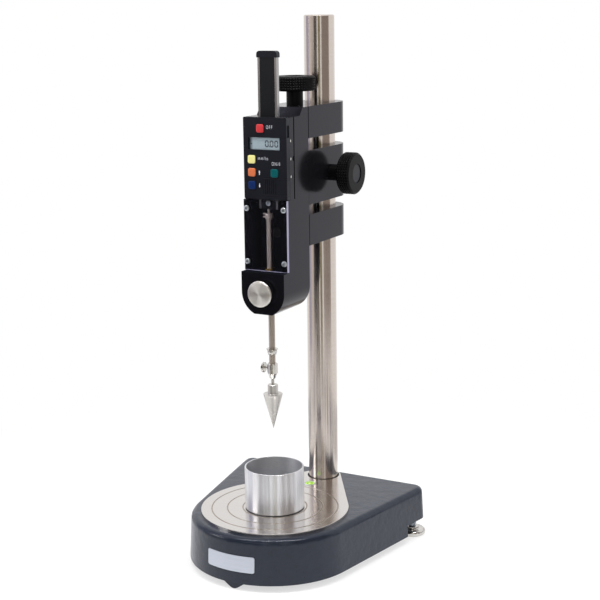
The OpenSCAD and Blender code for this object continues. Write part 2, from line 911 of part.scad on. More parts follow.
// Carriage: the clamp block and the two arms slide on the column

module carriage_bar(front_y, z, h) {
    translate([0, 0, z])
        difference() {
            linear_extrude(h)
                union() {
                    translate([-half_w, front_y])
                        square([carriage_w, column_y - front_y]);
                    translate([0, column_y])
                        circle(half_w);
                }
            translate([0, column_y, -past])
                cylinder(d = column_d + 2 * running, h = h + 2 * past);
        }
}

module clamp_block() {
    color(black_anodised)
        difference() {
            carriage_bar(head_back_y + slide_gap, block_bottom, block_h);
            translate([0, fine_screw_y, block_bottom - past])
                cylinder(d = fine_screw_d + 2 * slide_gap, h = block_h + 2 * past);
            translate([0, fine_screw_y, block_top - nut_len])
                cylinder(d = nut_d + 2 * running, h = nut_len + past);
            translate([0, lock_y, carriage_z])
                rod_x(cotter_d + 2 * running, cotter_bore_end, half_w + past);
        }
}

module fine_nut() {
    color(brass)
        translate([0, fine_screw_y, block_top - nut_len])
            difference() {
                cylinder(d = nut_d, h = nut_len);
                translate([0, 0, -past])
                    cylinder(d = fine_screw_d + 2 * running, h = nut_len + 2 * past);
            }
}

// A cotter of the lock, scalloped to the column, from x0 to x1
module cotter(x0, x1) {
    color(brass)
        difference() {
            translate([0, lock_y, carriage_z])
                rod_x(cotter_d, x0, x1);
            translate([0, lock_y, carriage_z])
                rod_x(lock_stud_d + 2 * running, x0 - past, x1 + past);
            translate([0, column_y, carriage_z - cotter_d])
                cylinder(d = column_d + 2 * running, h = 2 * cotter_d);
        }
}

module outer_cotter() { cotter(cotter_gap / 2, half_w - seat_gap); }
module inner_cotter() { cotter(lock_stud_tip, -cotter_gap / 2); }

module arm(z) {
    color(black_anodised)
        difference() {
            carriage_bar(head_back_y, z, arm_h);
            for (side = [-1, 1])
                translate([side * half_w, head_back_y, z + arm_h / 2])
                    cube([2 * joint_relief, 2 * joint_relief, arm_h + 2 * past], center = true);
            translate([0, 0, z + arm_h / 2]) {
                rod_y(arm_screw_d + 2 * running, head_back_y - past, head_back_y + arm_screw_depth + seat_gap);
                for (side = [-1, 1])
                    translate([side * dowel_x, 0, 0])
                        rod_y(dowel_d + 2 * running, head_back_y - past, head_back_y + dowel_depth + seat_gap);
            }
        }
}

module upper_arm() {
    color(black_anodised)
        difference() {
            arm(upper_arm_z);
            translate([0, fine_screw_y, upper_arm_z - past])
                cylinder(d = fine_screw_d + 2 * running, h = arm_h + 2 * past);
            translate([0, fine_screw_y, upper_arm_z - past])
                cylinder(d = collar_d + 2 * slide_gap, h = collar_h + seat_gap + past);
        }
}

module lower_arm() {
    color(black_anodised)
        difference() {
            arm(lower_arm_z);
            translate([0, fine_screw_y, fine_screw_foot - seat_gap])
                cylinder(d = fine_screw_d + 2 * running, h = arm_h);
        }
}

module arm_screws() {
    head_h = arm_screw_d;
    head_d = 1.65 * arm_screw_d;
    color(zinc) {
        translate([0, gauge_back_y + seat_gap, upper_arm_z + arm_h / 2])
            cap_screw(arm_screw_d, head_d, head_h, head_back_y + arm_screw_depth - gauge_back_y - seat_gap);
        translate([0, cavity_back_y + seat_gap, lower_arm_z + arm_h / 2])
            cap_screw(arm_screw_d, head_d, head_h, head_back_y + arm_screw_depth - cavity_back_y - seat_gap);
    }
}

module arm_dowels() {
    color(zinc)
        for (z = [upper_arm_z, lower_arm_z], side = [-1, 1])
            translate([side * dowel_x, 0, z + arm_h / 2])
                rod_y(dowel_d, head_back_y - dowel_depth, head_back_y + dowel_depth);
}

// Knobs: a stem and a disc with a rim of square points

// A drum covered in square pyramids, standing on z = 0
module knurled_drum(root_r, tip_r, h, rows, columns) {
    root = [for (i = [0 : rows], j = [0 : columns - 1]) let (a = 360 * j / columns)
        [root_r * cos(a), root_r * sin(a), h * i / rows]];
    tips = [for (i = [0 : rows - 1], j = [0 : columns - 1]) let (a = 360 * (j + 0.5) / columns)
        [tip_r * cos(a), tip_r * sin(a), h * (i + 0.5) / rows]];
    sides = [for (i = [0 : rows - 1], j = [0 : columns - 1])
        let (
            k = (j + 1) % columns,
            p = i * columns + j,
            q = i * columns + k,
            r = (i + 1) * columns + k,
            s = (i + 1) * columns + j,
            t = len(root) + p
        )
        each [[q, p, t], [r, q, t], [s, r, t], [p, s, t]]];
    foot = [for (j = [0 : columns - 1]) j];
    lid = [for (j = [columns - 1 : -1 : 0]) rows * columns + j];
    polyhedron(points = concat(root, tips), faces = concat(sides, [foot], [lid]));
}

// A knob that stands on z = 0 by its stem, with a bore for its screw
module knob(screw_d) {
    drum_z = knob_stem_h + knob_chamfer;
    drum_h = knob_t - 2 * knob_chamfer;
    rim_r = knurl_root_r * cos(180 / knurl_columns) - seat_gap;
    face_r = rim_r - knob_chamfer;
    color(black_anodised)
        difference() {
            union() {
                cylinder(d = knob_stem_d, h = drum_z);
                translate([0, 0, knob_stem_h])
                    cylinder(r1 = face_r, r2 = rim_r, h = knob_chamfer);
                translate([0, 0, drum_z])
                    knurled_drum(knurl_root_r, knob_d / 2, drum_h, knurl_rows, knurl_columns);
                translate([0, 0, drum_z + drum_h])
                    cylinder(r1 = rim_r, r2 = face_r, h = knob_chamfer);
            }
            translate([0, 0, knob_stem_h + knob_t - knob_recess_depth])
                cylinder(d = knob_recess_d, h = knob_recess_depth + past);
            translate([0, 0, -past])
                cylinder(d = screw_d + 2 * running, h = knob_screw_depth + past);
        }
}

module fine_knob() {
    translate([0, fine_screw_y, head_top + seat_gap])
        knob(fine_screw_d);
}

module fine_screw() {
    color(polished_steel)
        translate([0, fine_screw_y, fine_screw_foot])
            cylinder(d = fine_screw_d, h = fine_screw_top - fine_screw_foot);
}

module fine_collar() {
    color(polished_steel)
        translate([0, fine_screw_y, upper_arm_z])
            difference() {
                cylinder(d = collar_d, h = collar_h);
                translate([0, 0, -past])
                    cylinder(d = fine_screw_d + 2 * running, h = collar_h + 2 * past);
            }
}

module lock_knob() {
    translate([half_w + seat_gap, lock_y, carriage_z])
        rotate([0, 90, 0])
            knob(lock_stud_d);
}

module lock_screw() {
    color(polished_steel)
        translate([0, lock_y, carriage_z])
            rod_x(lock_stud_d, lock_stud_tip, lock_stud_head);
}

// Head

module head_side_outline() {
    polygon([
        [nose_y, nose_bottom], [nose_y, nose_top],
        [window_y, nose_top], [window_y, gauge_bottom],
        [gauge_back_y, gauge_bottom], [gauge_back_y, gauge_top],
        [gauge_back_y + ledge_depth, gauge_top], [gauge_back_y + ledge_depth + slope_run, head_top],
        [head_back_y, head_top], [head_back_y, nose_bottom]
    ]);
}

module head_front_outline() {
    intersection() {
        union() {
            translate([0, nose_axis_z])
                circle(half_w);
            translate([-half_w, nose_axis_z])
                square([carriage_w, head_top - nose_axis_z]);
        }
        translate([-half_w, nose_bottom])
            square([carriage_w, head_h]);
    }
}

module head_body() {
    arm_head_d = 1.65 * arm_screw_d + 2 * seat_gap;
    color(black_anodised)
        difference() {
            intersection() {
                slab_x(-half_w - past, half_w + past)
                    head_side_outline();
                slab_y(nose_y - past, head_back_y + past)
                    head_front_outline();
            }
            span(
                [-cavity_w / 2, window_y - past, nose_top],
                [cavity_w / 2, cavity_back_y, gauge_bottom - case_side]
            );
            span(
                [-cavity_w / 2, window_y - past, nose_top],
                [cavity_w / 2, gauge_back_y, gauge_bottom + past]
            );
            translate([0, axis_y, nose_bottom - past])
                cylinder(d = plunger_d + 2 * slide_gap, h = nose_flat + nose_rise + 2 * past);
            translate([0, axis_y, nose_bottom - past])
                cylinder(d = bush_d + 2 * running, h = bush_len + past);
            translate([0, axis_y, nose_top - bush_len])
                cylinder(d = bush_d + 2 * running, h = bush_len + past);
            translate([0, 0, nose_axis_z]) {
                rod_y(shaft_d + 2 * running, nose_y - past, spring_end_y + seat_gap);
                rod_y(sleeve_d + 2 * slide_gap, nose_y - past, sleeve_back_y + button_travel + seat_gap);
            }
            translate([0, 0, upper_arm_z + arm_h / 2]) {
                rod_y(arm_head_d, gauge_back_y - past, gauge_back_y + arm_screw_d + seat_gap);
                rod_y(arm_screw_d + 2 * seat_gap, gauge_back_y, head_back_y + past);
            }
            translate([0, 0, lower_arm_z + arm_h / 2]) {
                rod_y(arm_head_d, cavity_back_y - past, cavity_back_y + arm_screw_d + seat_gap);
                rod_y(arm_screw_d + 2 * seat_gap, cavity_back_y, head_back_y + past);
            }
            for (z = [upper_arm_z, lower_arm_z], side = [-1, 1])
                translate([side * dowel_x, 0, z + arm_h / 2])
                    rod_y(dowel_d + 2 * running, head_back_y - dowel_depth - seat_gap, head_back_y + past);
            at_window_screws()
                rod_y(screw_d + 2 * running, window_y - past, window_y + screw_depth + seat_gap);
            at_gauge_screws() {
                rod_y(gauge_screw_d + 2 * seat_gap, gauge_back_y - past, head_back_y);
                rod_y(
                    1.75 * gauge_screw_d + 2 * seat_gap,
                    head_back_y - gauge_screw_d - seat_gap,
                    head_back_y + past
                );
            }
        }
}

module upper_bush() {
    color(brass)
        translate([0, axis_y, nose_top])
            difference() {
                union() {
                    cylinder(d = bush_flange_d, h = bush_flange_t);
                    translate([0, 0, -bush_len])
                        cylinder(d = bush_d, h = bush_len);
                }
                translate([0, 0, -bush_len - past])
                    cylinder(d = plunger_d + 2 * running, h = bush_len + bush_flange_t + 2 * past);
            }
}

module lower_bush() {
    color(brass)
        translate([0, axis_y, nose_bottom])
            difference() {
                cylinder(d = bush_d, h = bush_len);
                translate([0, 0, -past])
                    cylinder(d = plunger_d + 2 * running, h = bush_len + 2 * past);
            }
}

// Window

module at_window_screws() {
    for (side = [-1, 1], z = [window_bottom + window_screw_end, window_top - window_screw_end])
        translate([side * (half_w - window_screw_side), 0, z])
            children();
}

module window_cover() {
    color(clear_acrylic, 0.4)
        difference() {
            span([-half_w, window_y - window_t, window_bottom], [half_w, window_y, window_top]);
            at_window_screws()
                rod_y(screw_d + 2 * seat_gap, window_y - window_t - past, window_y + past);
        }
}

module window_screws() {
    color(zinc)
        at_window_screws()
            translate([0, window_y - window_t, 0])
                pan_screw(screw_d, screw_head_d, screw_head_h, window_t + screw_depth);
}

// Release button: the sprung shaft grips the plunger until it is pressed

module release_cap() {
    dome_r = (button_d * button_d / 4 + button_dome * button_dome) / (2 * button_dome);
    color(polished_steel)
        translate([0, sleeve_front_y, nose_axis_z])
            rotate([90, 0, 0])
                rotate_extrude()
                    intersection() {
                        translate([0, button_rim + button_dome - dome_r])
                            circle(dome_r, $fn = 8 * $fn);
                        square([button_d / 2, button_rim + button_dome]);
                    }
}

module release_shaft() {
    slot_w = plunger_d + 2 * running;
    color(black_anodised)
        difference() {
            translate([0, 0, nose_axis_z]) {
                rod_y(sleeve_d, sleeve_front_y, sleeve_back_y);
                rod_y(shaft_d, sleeve_front_y, shaft_back_y);
            }
            translate([0, axis_y, nose_axis_z - shaft_d]) {
                cylinder(d = slot_w, h = 2 * shaft_d);
                translate([0, -button_travel - seat_gap, 0])
                    cylinder(d = slot_w, h = 2 * shaft_d);
                translate([-slot_w / 2, -button_travel - seat_gap, 0])
                    cube([slot_w, button_travel + seat_gap, 2 * shaft_d]);
            }
        }
}

// Rings along the coil and sides round its wire
spring_ring_count = 8 * spring_turns;
spring_sides = 6;
spring_rise = spring_room - spring_wire - 2 * seat_gap;

function spring_centre(k) =
    let (a = 360 * k * spring_turns / spring_ring_count)
    [spring_d / 2 * cos(a), spring_d / 2 * sin(a), spring_rise * k / spring_ring_count];

function spring_point(k, s) =
    let (
        a = 360 * k * spring_turns / spring_ring_count,
        b = 360 * s / spring_sides,
        r = spring_d / 2 + spring_wire / 2 * cos(b)
    )
    [r * cos(a), r * sin(a), spring_rise * k / spring_ring_count + spring_wire / 2 * sin(b)];

module release_spring() {
    points = [for (k = [0 : spring_ring_count], s = [0 : spring_sides - 1]) spring_point(k, s)];
    sides = [for (k = [0 : spring_ring_count - 1], s = [0 : spring_sides - 1])
        let (
            p = k * spring_sides + s,
            q = k * spring_sides + (s + 1) % spring_sides,
            r = q + spring_sides,
            t = p + spring_sides
        )
        each [[p, q, r], [p, r, t]]];
    first = [for (s = [spring_sides - 1 : -1 : 0]) s];
    last = [for (s = [0 : spring_sides - 1]) spring_ring_count * spring_sides + s];
    turn = spring_ring_count / spring_turns;
    gaps = [for (k = [0 : spring_ring_count - turn])
        norm(spring_centre(k + turn) - spring_centre(k)) - spring_wire];
    echo(release_spring_least_gap = min(gaps));
    color(zinc)
        translate([0, shaft_back_y + spring_wire / 2 + seat_gap, nose_axis_z])
            rotate([-90, 0, 0])
                polyhedron(points = points, faces = concat(sides, [first], [last]));
}

// Gauge

module at_key(x, z) {
    translate([x, 0, gauge_bottom + z])
        children();
}

module at_keys() {
    at_key(off_key_x, off_key_z)
        children();
    at_key(zero_key_x, key_low_z + key_pitch)
        children();
    for (i = [0 : 2])
        at_key(key_left_x, key_low_z + i * key_pitch)
            children();
}

module at_gauge_screws() {
    for (side = [-1, 1])
        translate([side * gauge_screw_x, 0, gauge_bottom + gauge_screw_z])
            children();
}

module at_gib_screws() {
    for (i = [0 : gib_screw_count - 1])
        translate([
            0,
            (beam_front_y + beam_back_y) / 2,
            gauge_bottom + gib_z + (i - (gib_screw_count - 1) / 2) * gib_screw_pitch
        ])
            children();
}

module gauge_case() {
    opening = key_w + 2 * seat_gap;
    cover_left = half_w - cover_w;
    color(black_plastic)
        difference() {
            translate([0, 0, (gauge_bottom + gauge_top) / 2])
                slab_y(gauge_front_y, case_seam_y)
                    round_rect(carriage_w, gauge_h, case_corner_r);
            span(
                [case_side - half_w, case_inner_y, gauge_bottom + case_side],
                [half_w - case_side, case_seam_y + past, gauge_top - case_side]
            );
            at_keys()
                slab_y(gauge_front_y - past, case_inner_y + past)
                    round_rect(opening, opening, key_corner_r);
            at_key(lcd_x, lcd_z)
                slab_y(gauge_front_y - past, case_inner_y + past)
                    square([lcd_w + 2 * seat_gap, lcd_h + 2 * seat_gap], center = true);
            span(
                [cover_left - seat_gap, gauge_front_y - past, gauge_bottom + cover_z - seat_gap],
                [half_w + past, case_inner_y + seat_gap, gauge_bottom + cover_z + cover_h + seat_gap]
            );
            span(
                [half_w - case_side - past, gauge_front_y - past, gauge_bottom + cover_z - seat_gap],
                [half_w + past, case_seam_y + past, gauge_bottom + cover_z + cover_h + seat_gap]
            );
            at_key(0, port_z)
                translate([half_w - case_side / 2, case_seam_y - case_depth / 2, 0])
                    slab_x(0, case_side)
                        square([port_w, port_h], center = true);
        }
}

module gauge_slider() {
    color(black_anodised)
        difference() {
            span([-half_w, case_seam_y, gauge_bottom], [half_w, gauge_back_y, gauge_top]);
            span(
                [-beam_w / 2 - running, case_seam_y - past, gauge_bottom - past],
                [channel_right, beam_back_y + running, gauge_top + past]
            );
            for (side = [-1, 1])
                translate([side * half_w, gauge_back_y, (gauge_bottom + gauge_top) / 2])
                    cube([2 * slider_groove, 2 * slider_groove, gauge_h + 2 * past], center = true);
            translate([half_w, gauge_back_y, gauge_bottom + gib_z])
                cube([2 * gib_notch_depth, 2 * gib_notch_w, gib_notch_h], center = true);
            at_gib_screws()
                rod_x(screw_d + 2 * running, 0, half_w + past);
            at_gauge_screws()
                rod_y(
                    gauge_screw_d + 2 * running,
                    gauge_back_y - gauge_screw_depth - seat_gap,
                    gauge_back_y + past
                );
        }
}

module gauge_screws() {
    head_h = gauge_screw_d;
    color(zinc)
        at_gauge_screws() {
            rod_y(1.75 * gauge_screw_d, head_back_y - head_h, head_back_y);
            rod_y(gauge_screw_d, gauge_back_y - gauge_screw_depth, head_back_y);
        }
}

module gib_strip() {
    inset = case_side;
    color(brass)
        span(
            [beam_w / 2 + running, beam_front_y, gauge_bottom + inset],
            [beam_w / 2 + running + gib_t, beam_back_y - running, gauge_top - inset]
        );
}

module gib_screws() {
    color(polished_steel)
        at_gib_screws()
            rod_x(screw_d, channel_right, half_w - gib_recess);
}

module gauge_board() {
    edge = case_side + seat_gap;
    notch_top = gauge_bottom + cover_z + cover_h + case_side / 2;
    color("darkgreen")
        difference() {
            span(
                [edge - half_w, board_front_y, gauge_bottom + edge],
                [half_w - edge, board_front_y + board_t, gauge_top - edge]
            );
            span(
                [half_w - cover_w, board_front_y - past, gauge_bottom],
                [half_w, board_front_y + board_t + past, notch_top]
            );
        }
}

module lcd_panel() {
    color("darkseagreen")
        at_key(lcd_x, lcd_z)
            slab_y(gauge_front_y + lcd_recess, board_front_y - seat_gap)
                square([lcd_w, lcd_h], center = true);
}

module battery() {
    color(polished_steel)
        translate([half_w - cover_w / 2, 0, gauge_bottom + cover_z + cover_h / 2])
            rod_y(battery_d, case_seam_y - seat_gap - battery_t, case_seam_y - seat_gap);
}

module battery_cover() {
    cover_left = half_w - cover_w;
    z0 = gauge_bottom + cover_z;
    z1 = z0 + cover_h;
    rib_pitch = (cover_w - 2 * case_side) / 2 / (rib_count - 1);
    rib_w = rib_pitch / 2;
    rib_h = 0.4;
    color(black_plastic)
        union() {
            span([cover_left, gauge_front_y, z0], [half_w, gauge_front_y + cover_t, z1]);
            span([half_w - cover_t, gauge_front_y, z0], [half_w, case_seam_y - seat_gap, z1]);
            for (i = [0 : rib_count - 1])
                translate([cover_left + case_side / 2 + i * rib_pitch, 0, 0])
                    span(
                        [0, gauge_front_y - rib_h, z0 + case_side / 2],
                        [rib_w, gauge_front_y + cover_t / 2, z1 - case_side / 2]
                    );
        }
}

module key(x, z, shade) {
    flange_w = key_w + 2 * key_flange;
    color(shade)
        at_key(x, z) {
            slab_y(gauge_front_y - key_proud, key_back_y)
                round_rect(key_w, key_w, key_corner_r);
            slab_y(case_inner_y + seat_gap, case_inner_y + seat_gap + key_flange_t)
                round_rect(flange_w, flange_w, key_corner_r);
        }
}

module off_key() { key(off_key_x, off_key_z, "crimson"); }
module unit_key() { key(key_left_x, key_low_z + 2 * key_pitch, "khaki"); }
module up_key() { key(key_left_x, key_low_z + key_pitch, "coral"); }
module down_key() { key(key_left_x, key_low_z, "mediumblue"); }
module zero_key() { key(zero_key_x, key_low_z + key_pitch, "teal"); }

// Beam

module scale_beam() {
    color(ground_steel)
        difference() {
            span([-beam_w / 2, beam_front_y, plunger_top_z], [beam_w / 2, beam_back_y, beam_top]);
            span(
                [-strip_w / 2 - seat_gap, beam_front_y - past, plunger_top_z - past],
                [strip_w / 2 + seat_gap, beam_front_y + strip_t, beam_top + past]
            );
            translate([0, 0, plunger_top_z + screw_head_d])
                rod_y(screw_d + 2 * running, beam_front_y, beam_back_y + past);
        }
}

module beam_strip() {
    color(black_plastic)
        difference() {
            span([-strip_w / 2, beam_front_y, plunger_top_z], [strip_w / 2, beam_front_y + strip_t, beam_top]);
            translate([0, 0, plunger_top_z + screw_head_d])
                rod_y(screw_d + 2 * seat_gap, beam_front_y - past, beam_back_y);
        }
}

module beam_cap() {
    mid_y = (beam_front_y + beam_back_y) / 2;
    r = cap_h;
    color(black_plastic)
        difference() {
            translate([0, 0, beam_top - cap_socket])
                slab_y(mid_y - cap_depth / 2, mid_y + cap_depth / 2) {
                    translate([-cap_w / 2, 0])
                        square([cap_w, cap_socket]);
                    translate([-cap_w / 2 + r, 0])
                        square([cap_w - 2 * r, cap_socket + cap_h]);
                    for (side = [-1, 1])
                        translate([side * (cap_w / 2 - r), cap_socket])
                            circle(r);
                }
            span(
                [-beam_w / 2 - seat_gap, beam_front_y - seat_gap, beam_top - cap_socket - past],
                [beam_w / 2 + seat_gap, beam_back_y + seat_gap, beam_top]
            );
        }
}

module beam_screw() {
    color(zinc)
        translate([0, beam_front_y, plunger_top_z + screw_head_d])
            pan_screw(screw_d, screw_head_d, screw_head_h, beam_t);
}

// Plunger

module plunger_rod() {
    groove = 0.15;
    color(ground_steel)
        translate([0, axis_y, 0])
            difference() {
                union() {
                    translate([0, 0, chuck_top - shank_depth / 3])
                        cylinder(d = plunger_d, h = lug_piece_top - chuck_top + shank_depth / 3);
                    translate([0, 0, lug_piece_top])
                        cylinder(d = pin_d, h = pin_h);
                }
                for (z = [stop_z + 2 * stop_h, lug_piece_z - 2 * stop_h])
                    translate([0, 0, z])
                        ring_cut(plunger_d, groove);
            }
}

// A fine turned groove round a rod of diameter d
module ring_cut(d, groove) {
    difference() {
        cylinder(d = d + past, h = 3 * groove);
        cylinder(d = d - 2 * groove, h = 3 * groove);
    }
}

module plunger_lug() {
    taper_h = lug_piece_h / 2;
    color(ground_steel)
        translate([0, axis_y, lug_piece_z])
            difference() {
                union() {
                    cylinder(d = lug_piece_d, h = lug_piece_h);
                    translate([0, 0, -taper_h])
                        cylinder(d1 = plunger_d + 4 * running, d2 = lug_piece_d, h = taper_h);
                    translate([-ear_reach, -ear_t / 2, 0])
                        cube([ear_reach, ear_t, lug_piece_h]);
                }
                translate([0, 0, -taper_h - past])
                    cylinder(d = plunger_d + 2 * running, h = lug_piece_h + taper_h + 2 * past);
                translate([-(ear_reach + lug_piece_d / 2) / 2, 0, lug_piece_h / 2])
                    rod_y(ear_hole_d, -ear_t, ear_t);
            }
}

module stop_collar() {
    rim_t = stop_h / 6;
    color(polished_steel)
        translate([0, axis_y, stop_z])
            difference() {
                union() {
                    cylinder(d1 = plunger_d + 2 * past, d2 = stop_body_d, h = stop_h / 2);
                    translate([0, 0, stop_h / 2])
                        cylinder(d = stop_body_d, h = stop_h / 2);
                    translate([0, 0, stop_h - rim_t])
                        cylinder(d1 = stop_body_d, d2 = stop_rim_d, h = rim_t);
                }
                translate([0, 0, -past])
                    cylinder(d = plunger_d + 2 * running, h = stop_h + 2 * past);
            }
}

module cone_chuck() {
    shoulder = (chuck_d - plunger_d) / 4;
    color(polished_steel)
        difference() {
            translate([0, axis_y, chuck_z]) {
                cylinder(d1 = chuck_tip_d, d2 = chuck_d - 2 * shoulder, h = chuck_tip_h);
                translate([0, 0, chuck_tip_h])
                    cylinder(d1 = chuck_d - 2 * shoulder, d2 = chuck_d, h = shoulder);
                translate([0, 0, chuck_tip_h + shoulder])
                    cylinder(d = chuck_d, h = chuck_len - chuck_tip_h - 2 * shoulder);
                translate([0, 0, chuck_len - shoulder])
                    cylinder(d1 = chuck_d, d2 = chuck_d - 2 * shoulder, h = shoulder);
            }
            translate([0, axis_y, chuck_z - past])
                cylinder(d = shank_d + 2 * running, h = shank_depth + past + seat_gap);
            translate([0, axis_y, chuck_top - shank_depth / 3])
                cylinder(d = plunger_d + 2 * running, h = shank_depth);
            translate([0, axis_y, thumb_z])
                rod_x(screw_d + 2 * running, -chuck_d, 0);
        }
}

module thumb_screw() {
    tip = -shank_d / 2 - running - seat_gap;
    inner = -chuck_d / 2 - thumb_gap;
    rim = thumb_t / 5;
    color(polished_steel)
        translate([0, axis_y, thumb_z]) {
            rod_x(screw_d, inner - thumb_t / 2, tip);
            translate([inner, 0, 0])
                rotate([0, -90, 0]) {
                    cylinder(d1 = thumb_d - 2 * rim, d2 = thumb_d, h = rim);
                    translate([0, 0, rim])
                        cylinder(d = thumb_d, h = thumb_t - 2 * rim);
                    translate([0, 0, thumb_t - rim])
                        cylinder(d1 = thumb_d, d2 = thumb_d - 2 * rim, h = rim);
                }
        }
}

module cone() {
    tip_flat = 0.2;
    color(polished_steel)
        translate([0, axis_y, 0]) {
            translate([0, 0, cone_tip_z])
                cylinder(d1 = tip_flat, d2 = cone_d, h = cone_len);
            translate([0, 0, cone_base_z])
                cylinder(d = hub_d, h = hub_h);
            translate([0, 0, hub_top])
                cylinder(d = shank_d, h = shank_gap + shank_depth);
        }
}

// Sample cup

module cup() {
    color(spun_aluminium)
        translate([0, axis_y, plate_top])
            difference() {
                cylinder(d = cup_d, h = cup_h);
                translate([0, 0, cup_floor])
                    cylinder(d = cup_d - 2 * cup_wall, h = cup_h);
            }
}

base_casting();
front_plate();
work_plate();
plate_screws();
level_case();
level_vial();
column();
column_bolt();
column_washer();
left_foot_screw();
left_foot_disc();
right_foot_screw();
right_foot_disc();
clamp_block();
fine_nut();
outer_cotter();
inner_cotter();
lock_knob();
lock_screw();
head_body();
upper_arm();
lower_arm();
arm_screws();
arm_dowels();
fine_knob();
fine_screw();
fine_collar();
window_cover();
window_screws();
upper_bush();
lower_bush();
release_cap();
release_shaft();
release_spring();
gauge_case();
gauge_slider();
gauge_screws();
gib_strip();
gib_screws();
gauge_board();
lcd_panel();
battery();
battery_cover();
off_key();
unit_key();
up_key();
down_key();
zero_key();
scale_beam();
beam_strip();
beam_cap();
beam_screw();
plunger_rod();
plunger_lug();
stop_collar();
cone_chuck();
thumb_screw();
cone();
cup();
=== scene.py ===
# %% [markdown]
# # A bench cone penetrometer
# The instrument drops a pointed cone into a cup of soil paste and reads how deep it sinks.
# The CAD solids are the frame. This lesson gives them their finishes and adds what a solid model
# leaves out: soft edges, turned steel, crowned keys, lettering, screw recesses and threads.
# Everything is in metres, in the same place as the solids.

# %% Load the frame
import json
import math

import bpy
from mathutils import Matrix, Vector

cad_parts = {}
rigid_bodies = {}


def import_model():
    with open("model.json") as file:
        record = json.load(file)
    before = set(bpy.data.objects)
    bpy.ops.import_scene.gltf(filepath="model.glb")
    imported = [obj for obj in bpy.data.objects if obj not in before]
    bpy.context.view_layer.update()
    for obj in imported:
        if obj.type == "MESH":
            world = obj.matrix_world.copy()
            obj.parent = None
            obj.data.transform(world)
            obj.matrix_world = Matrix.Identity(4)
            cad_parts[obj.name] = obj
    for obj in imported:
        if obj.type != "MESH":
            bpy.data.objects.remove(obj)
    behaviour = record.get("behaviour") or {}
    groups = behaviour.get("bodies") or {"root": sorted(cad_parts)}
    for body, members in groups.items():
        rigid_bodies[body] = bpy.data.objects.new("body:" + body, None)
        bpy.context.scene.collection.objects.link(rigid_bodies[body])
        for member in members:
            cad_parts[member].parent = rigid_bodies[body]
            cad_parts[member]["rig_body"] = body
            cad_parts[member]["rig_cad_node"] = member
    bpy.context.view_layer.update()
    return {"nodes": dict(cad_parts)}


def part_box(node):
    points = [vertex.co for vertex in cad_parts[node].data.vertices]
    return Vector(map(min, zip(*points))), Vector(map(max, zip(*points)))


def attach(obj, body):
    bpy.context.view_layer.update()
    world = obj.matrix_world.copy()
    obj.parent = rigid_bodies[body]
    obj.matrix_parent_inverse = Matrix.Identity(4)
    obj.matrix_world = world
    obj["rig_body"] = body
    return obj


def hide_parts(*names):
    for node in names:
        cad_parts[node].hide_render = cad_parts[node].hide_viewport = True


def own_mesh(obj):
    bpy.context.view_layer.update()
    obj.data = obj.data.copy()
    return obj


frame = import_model()
nodes = frame["nodes"]
MM = 0.001

# %% [markdown]
# ## Camera
# The camera was matched to the photograph by known sizes: the cup is 58 mm across and the cone
# 35 mm long. It could be aimed by eye, but a place measured from the cup's foot, a lens and three
# angles repeat the narrowing of the column and the ellipse of the plate. It is a long lens from a
# little over a metre away, to the right of the front and slightly above.

# %% Camera
cup_low, cup_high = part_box("cup")
cup_foot = Vector(((cup_low.x + cup_high.x) / 2, (cup_low.y + cup_high.y) / 2, cup_low.z))
CAMERA_PLACE = cup_foot + Vector((634.2, -1108.9, 486.4)) * MM
CAMERA_AZIMUTH, CAMERA_PITCH, CAMERA_ROLL = (math.radians(a) for a in (28.54, 12.32, -0.76))
LENS, FILM_WIDTH = 82.33, 36
bpy.ops.object.select_all(action="DESELECT")
bpy.ops.object.camera_add()
camera = bpy.context.object
camera.name = "photo_camera"
camera.data.lens = LENS
camera.data.sensor_width = FILM_WIDTH
ahead = Vector((
    -math.sin(CAMERA_AZIMUTH) * math.cos(CAMERA_PITCH),
    math.cos(CAMERA_AZIMUTH) * math.cos(CAMERA_PITCH),
    -math.sin(CAMERA_PITCH),
))
right = Vector((math.cos(CAMERA_AZIMUTH), math.sin(CAMERA_AZIMUTH), 0))
up = right.cross(ahead)
level_right = right * math.cos(CAMERA_ROLL) + up * math.sin(CAMERA_ROLL)
level_up = up * math.cos(CAMERA_ROLL) - right * math.sin(CAMERA_ROLL)
turn = Matrix((level_right, level_up, -ahead)).transposed().to_4x4()
camera.matrix_world = Matrix.Translation(CAMERA_PLACE) @ turn
bpy.context.scene.camera = camera
bpy.context.scene.view_settings.view_transform = "Standard"
print("camera at", [round(v, 3) for v in CAMERA_PLACE])

# %% [markdown]
# ## Small helpers
# Every operator acts on what is selected, so each step starts with nothing selected. The helpers
# below clear the selection, write a place into a mesh so that a finished piece sits at the origin
# as the solids do, apply a modifier, and give a piece its body and finish.

# %% Helpers for objects
SMOOTH_ANGLE, FLAT_WEIGHT = 32, 80


def deselect_all():
    if bpy.context.object and bpy.context.object.mode != "OBJECT":
        bpy.ops.object.mode_set(mode="OBJECT")
    bpy.ops.object.select_all(action="DESELECT")
    bpy.context.tool_settings.mesh_select_mode = (True, False, False)


def only(piece):
    deselect_all()
    piece.select_set(True)
    bpy.context.view_layer.objects.active = piece


def settle(piece):
    only(piece)
    bpy.ops.object.transform_apply(location=True, rotation=True, scale=True)


def apply_modifier(piece, kind, **settings):
    only(piece)
    modifier = piece.modifiers.new(kind.lower(), kind)
    for key, value in settings.items():
        setattr(modifier, key, value)
    bpy.ops.object.modifier_apply(modifier=modifier.name)


def smooth(piece, degrees=SMOOTH_ANGLE):
    only(piece)
    bpy.ops.object.shade_smooth_by_angle(angle=math.radians(degrees))


def keep_flat(piece):
    """Smooth shading whose large flat faces stay flat beside a bevel."""
    smooth(piece)
    apply_modifier(piece, "WEIGHTED_NORMAL", keep_sharp=True, weight=FLAT_WEIGHT)


print("helpers for objects ready")

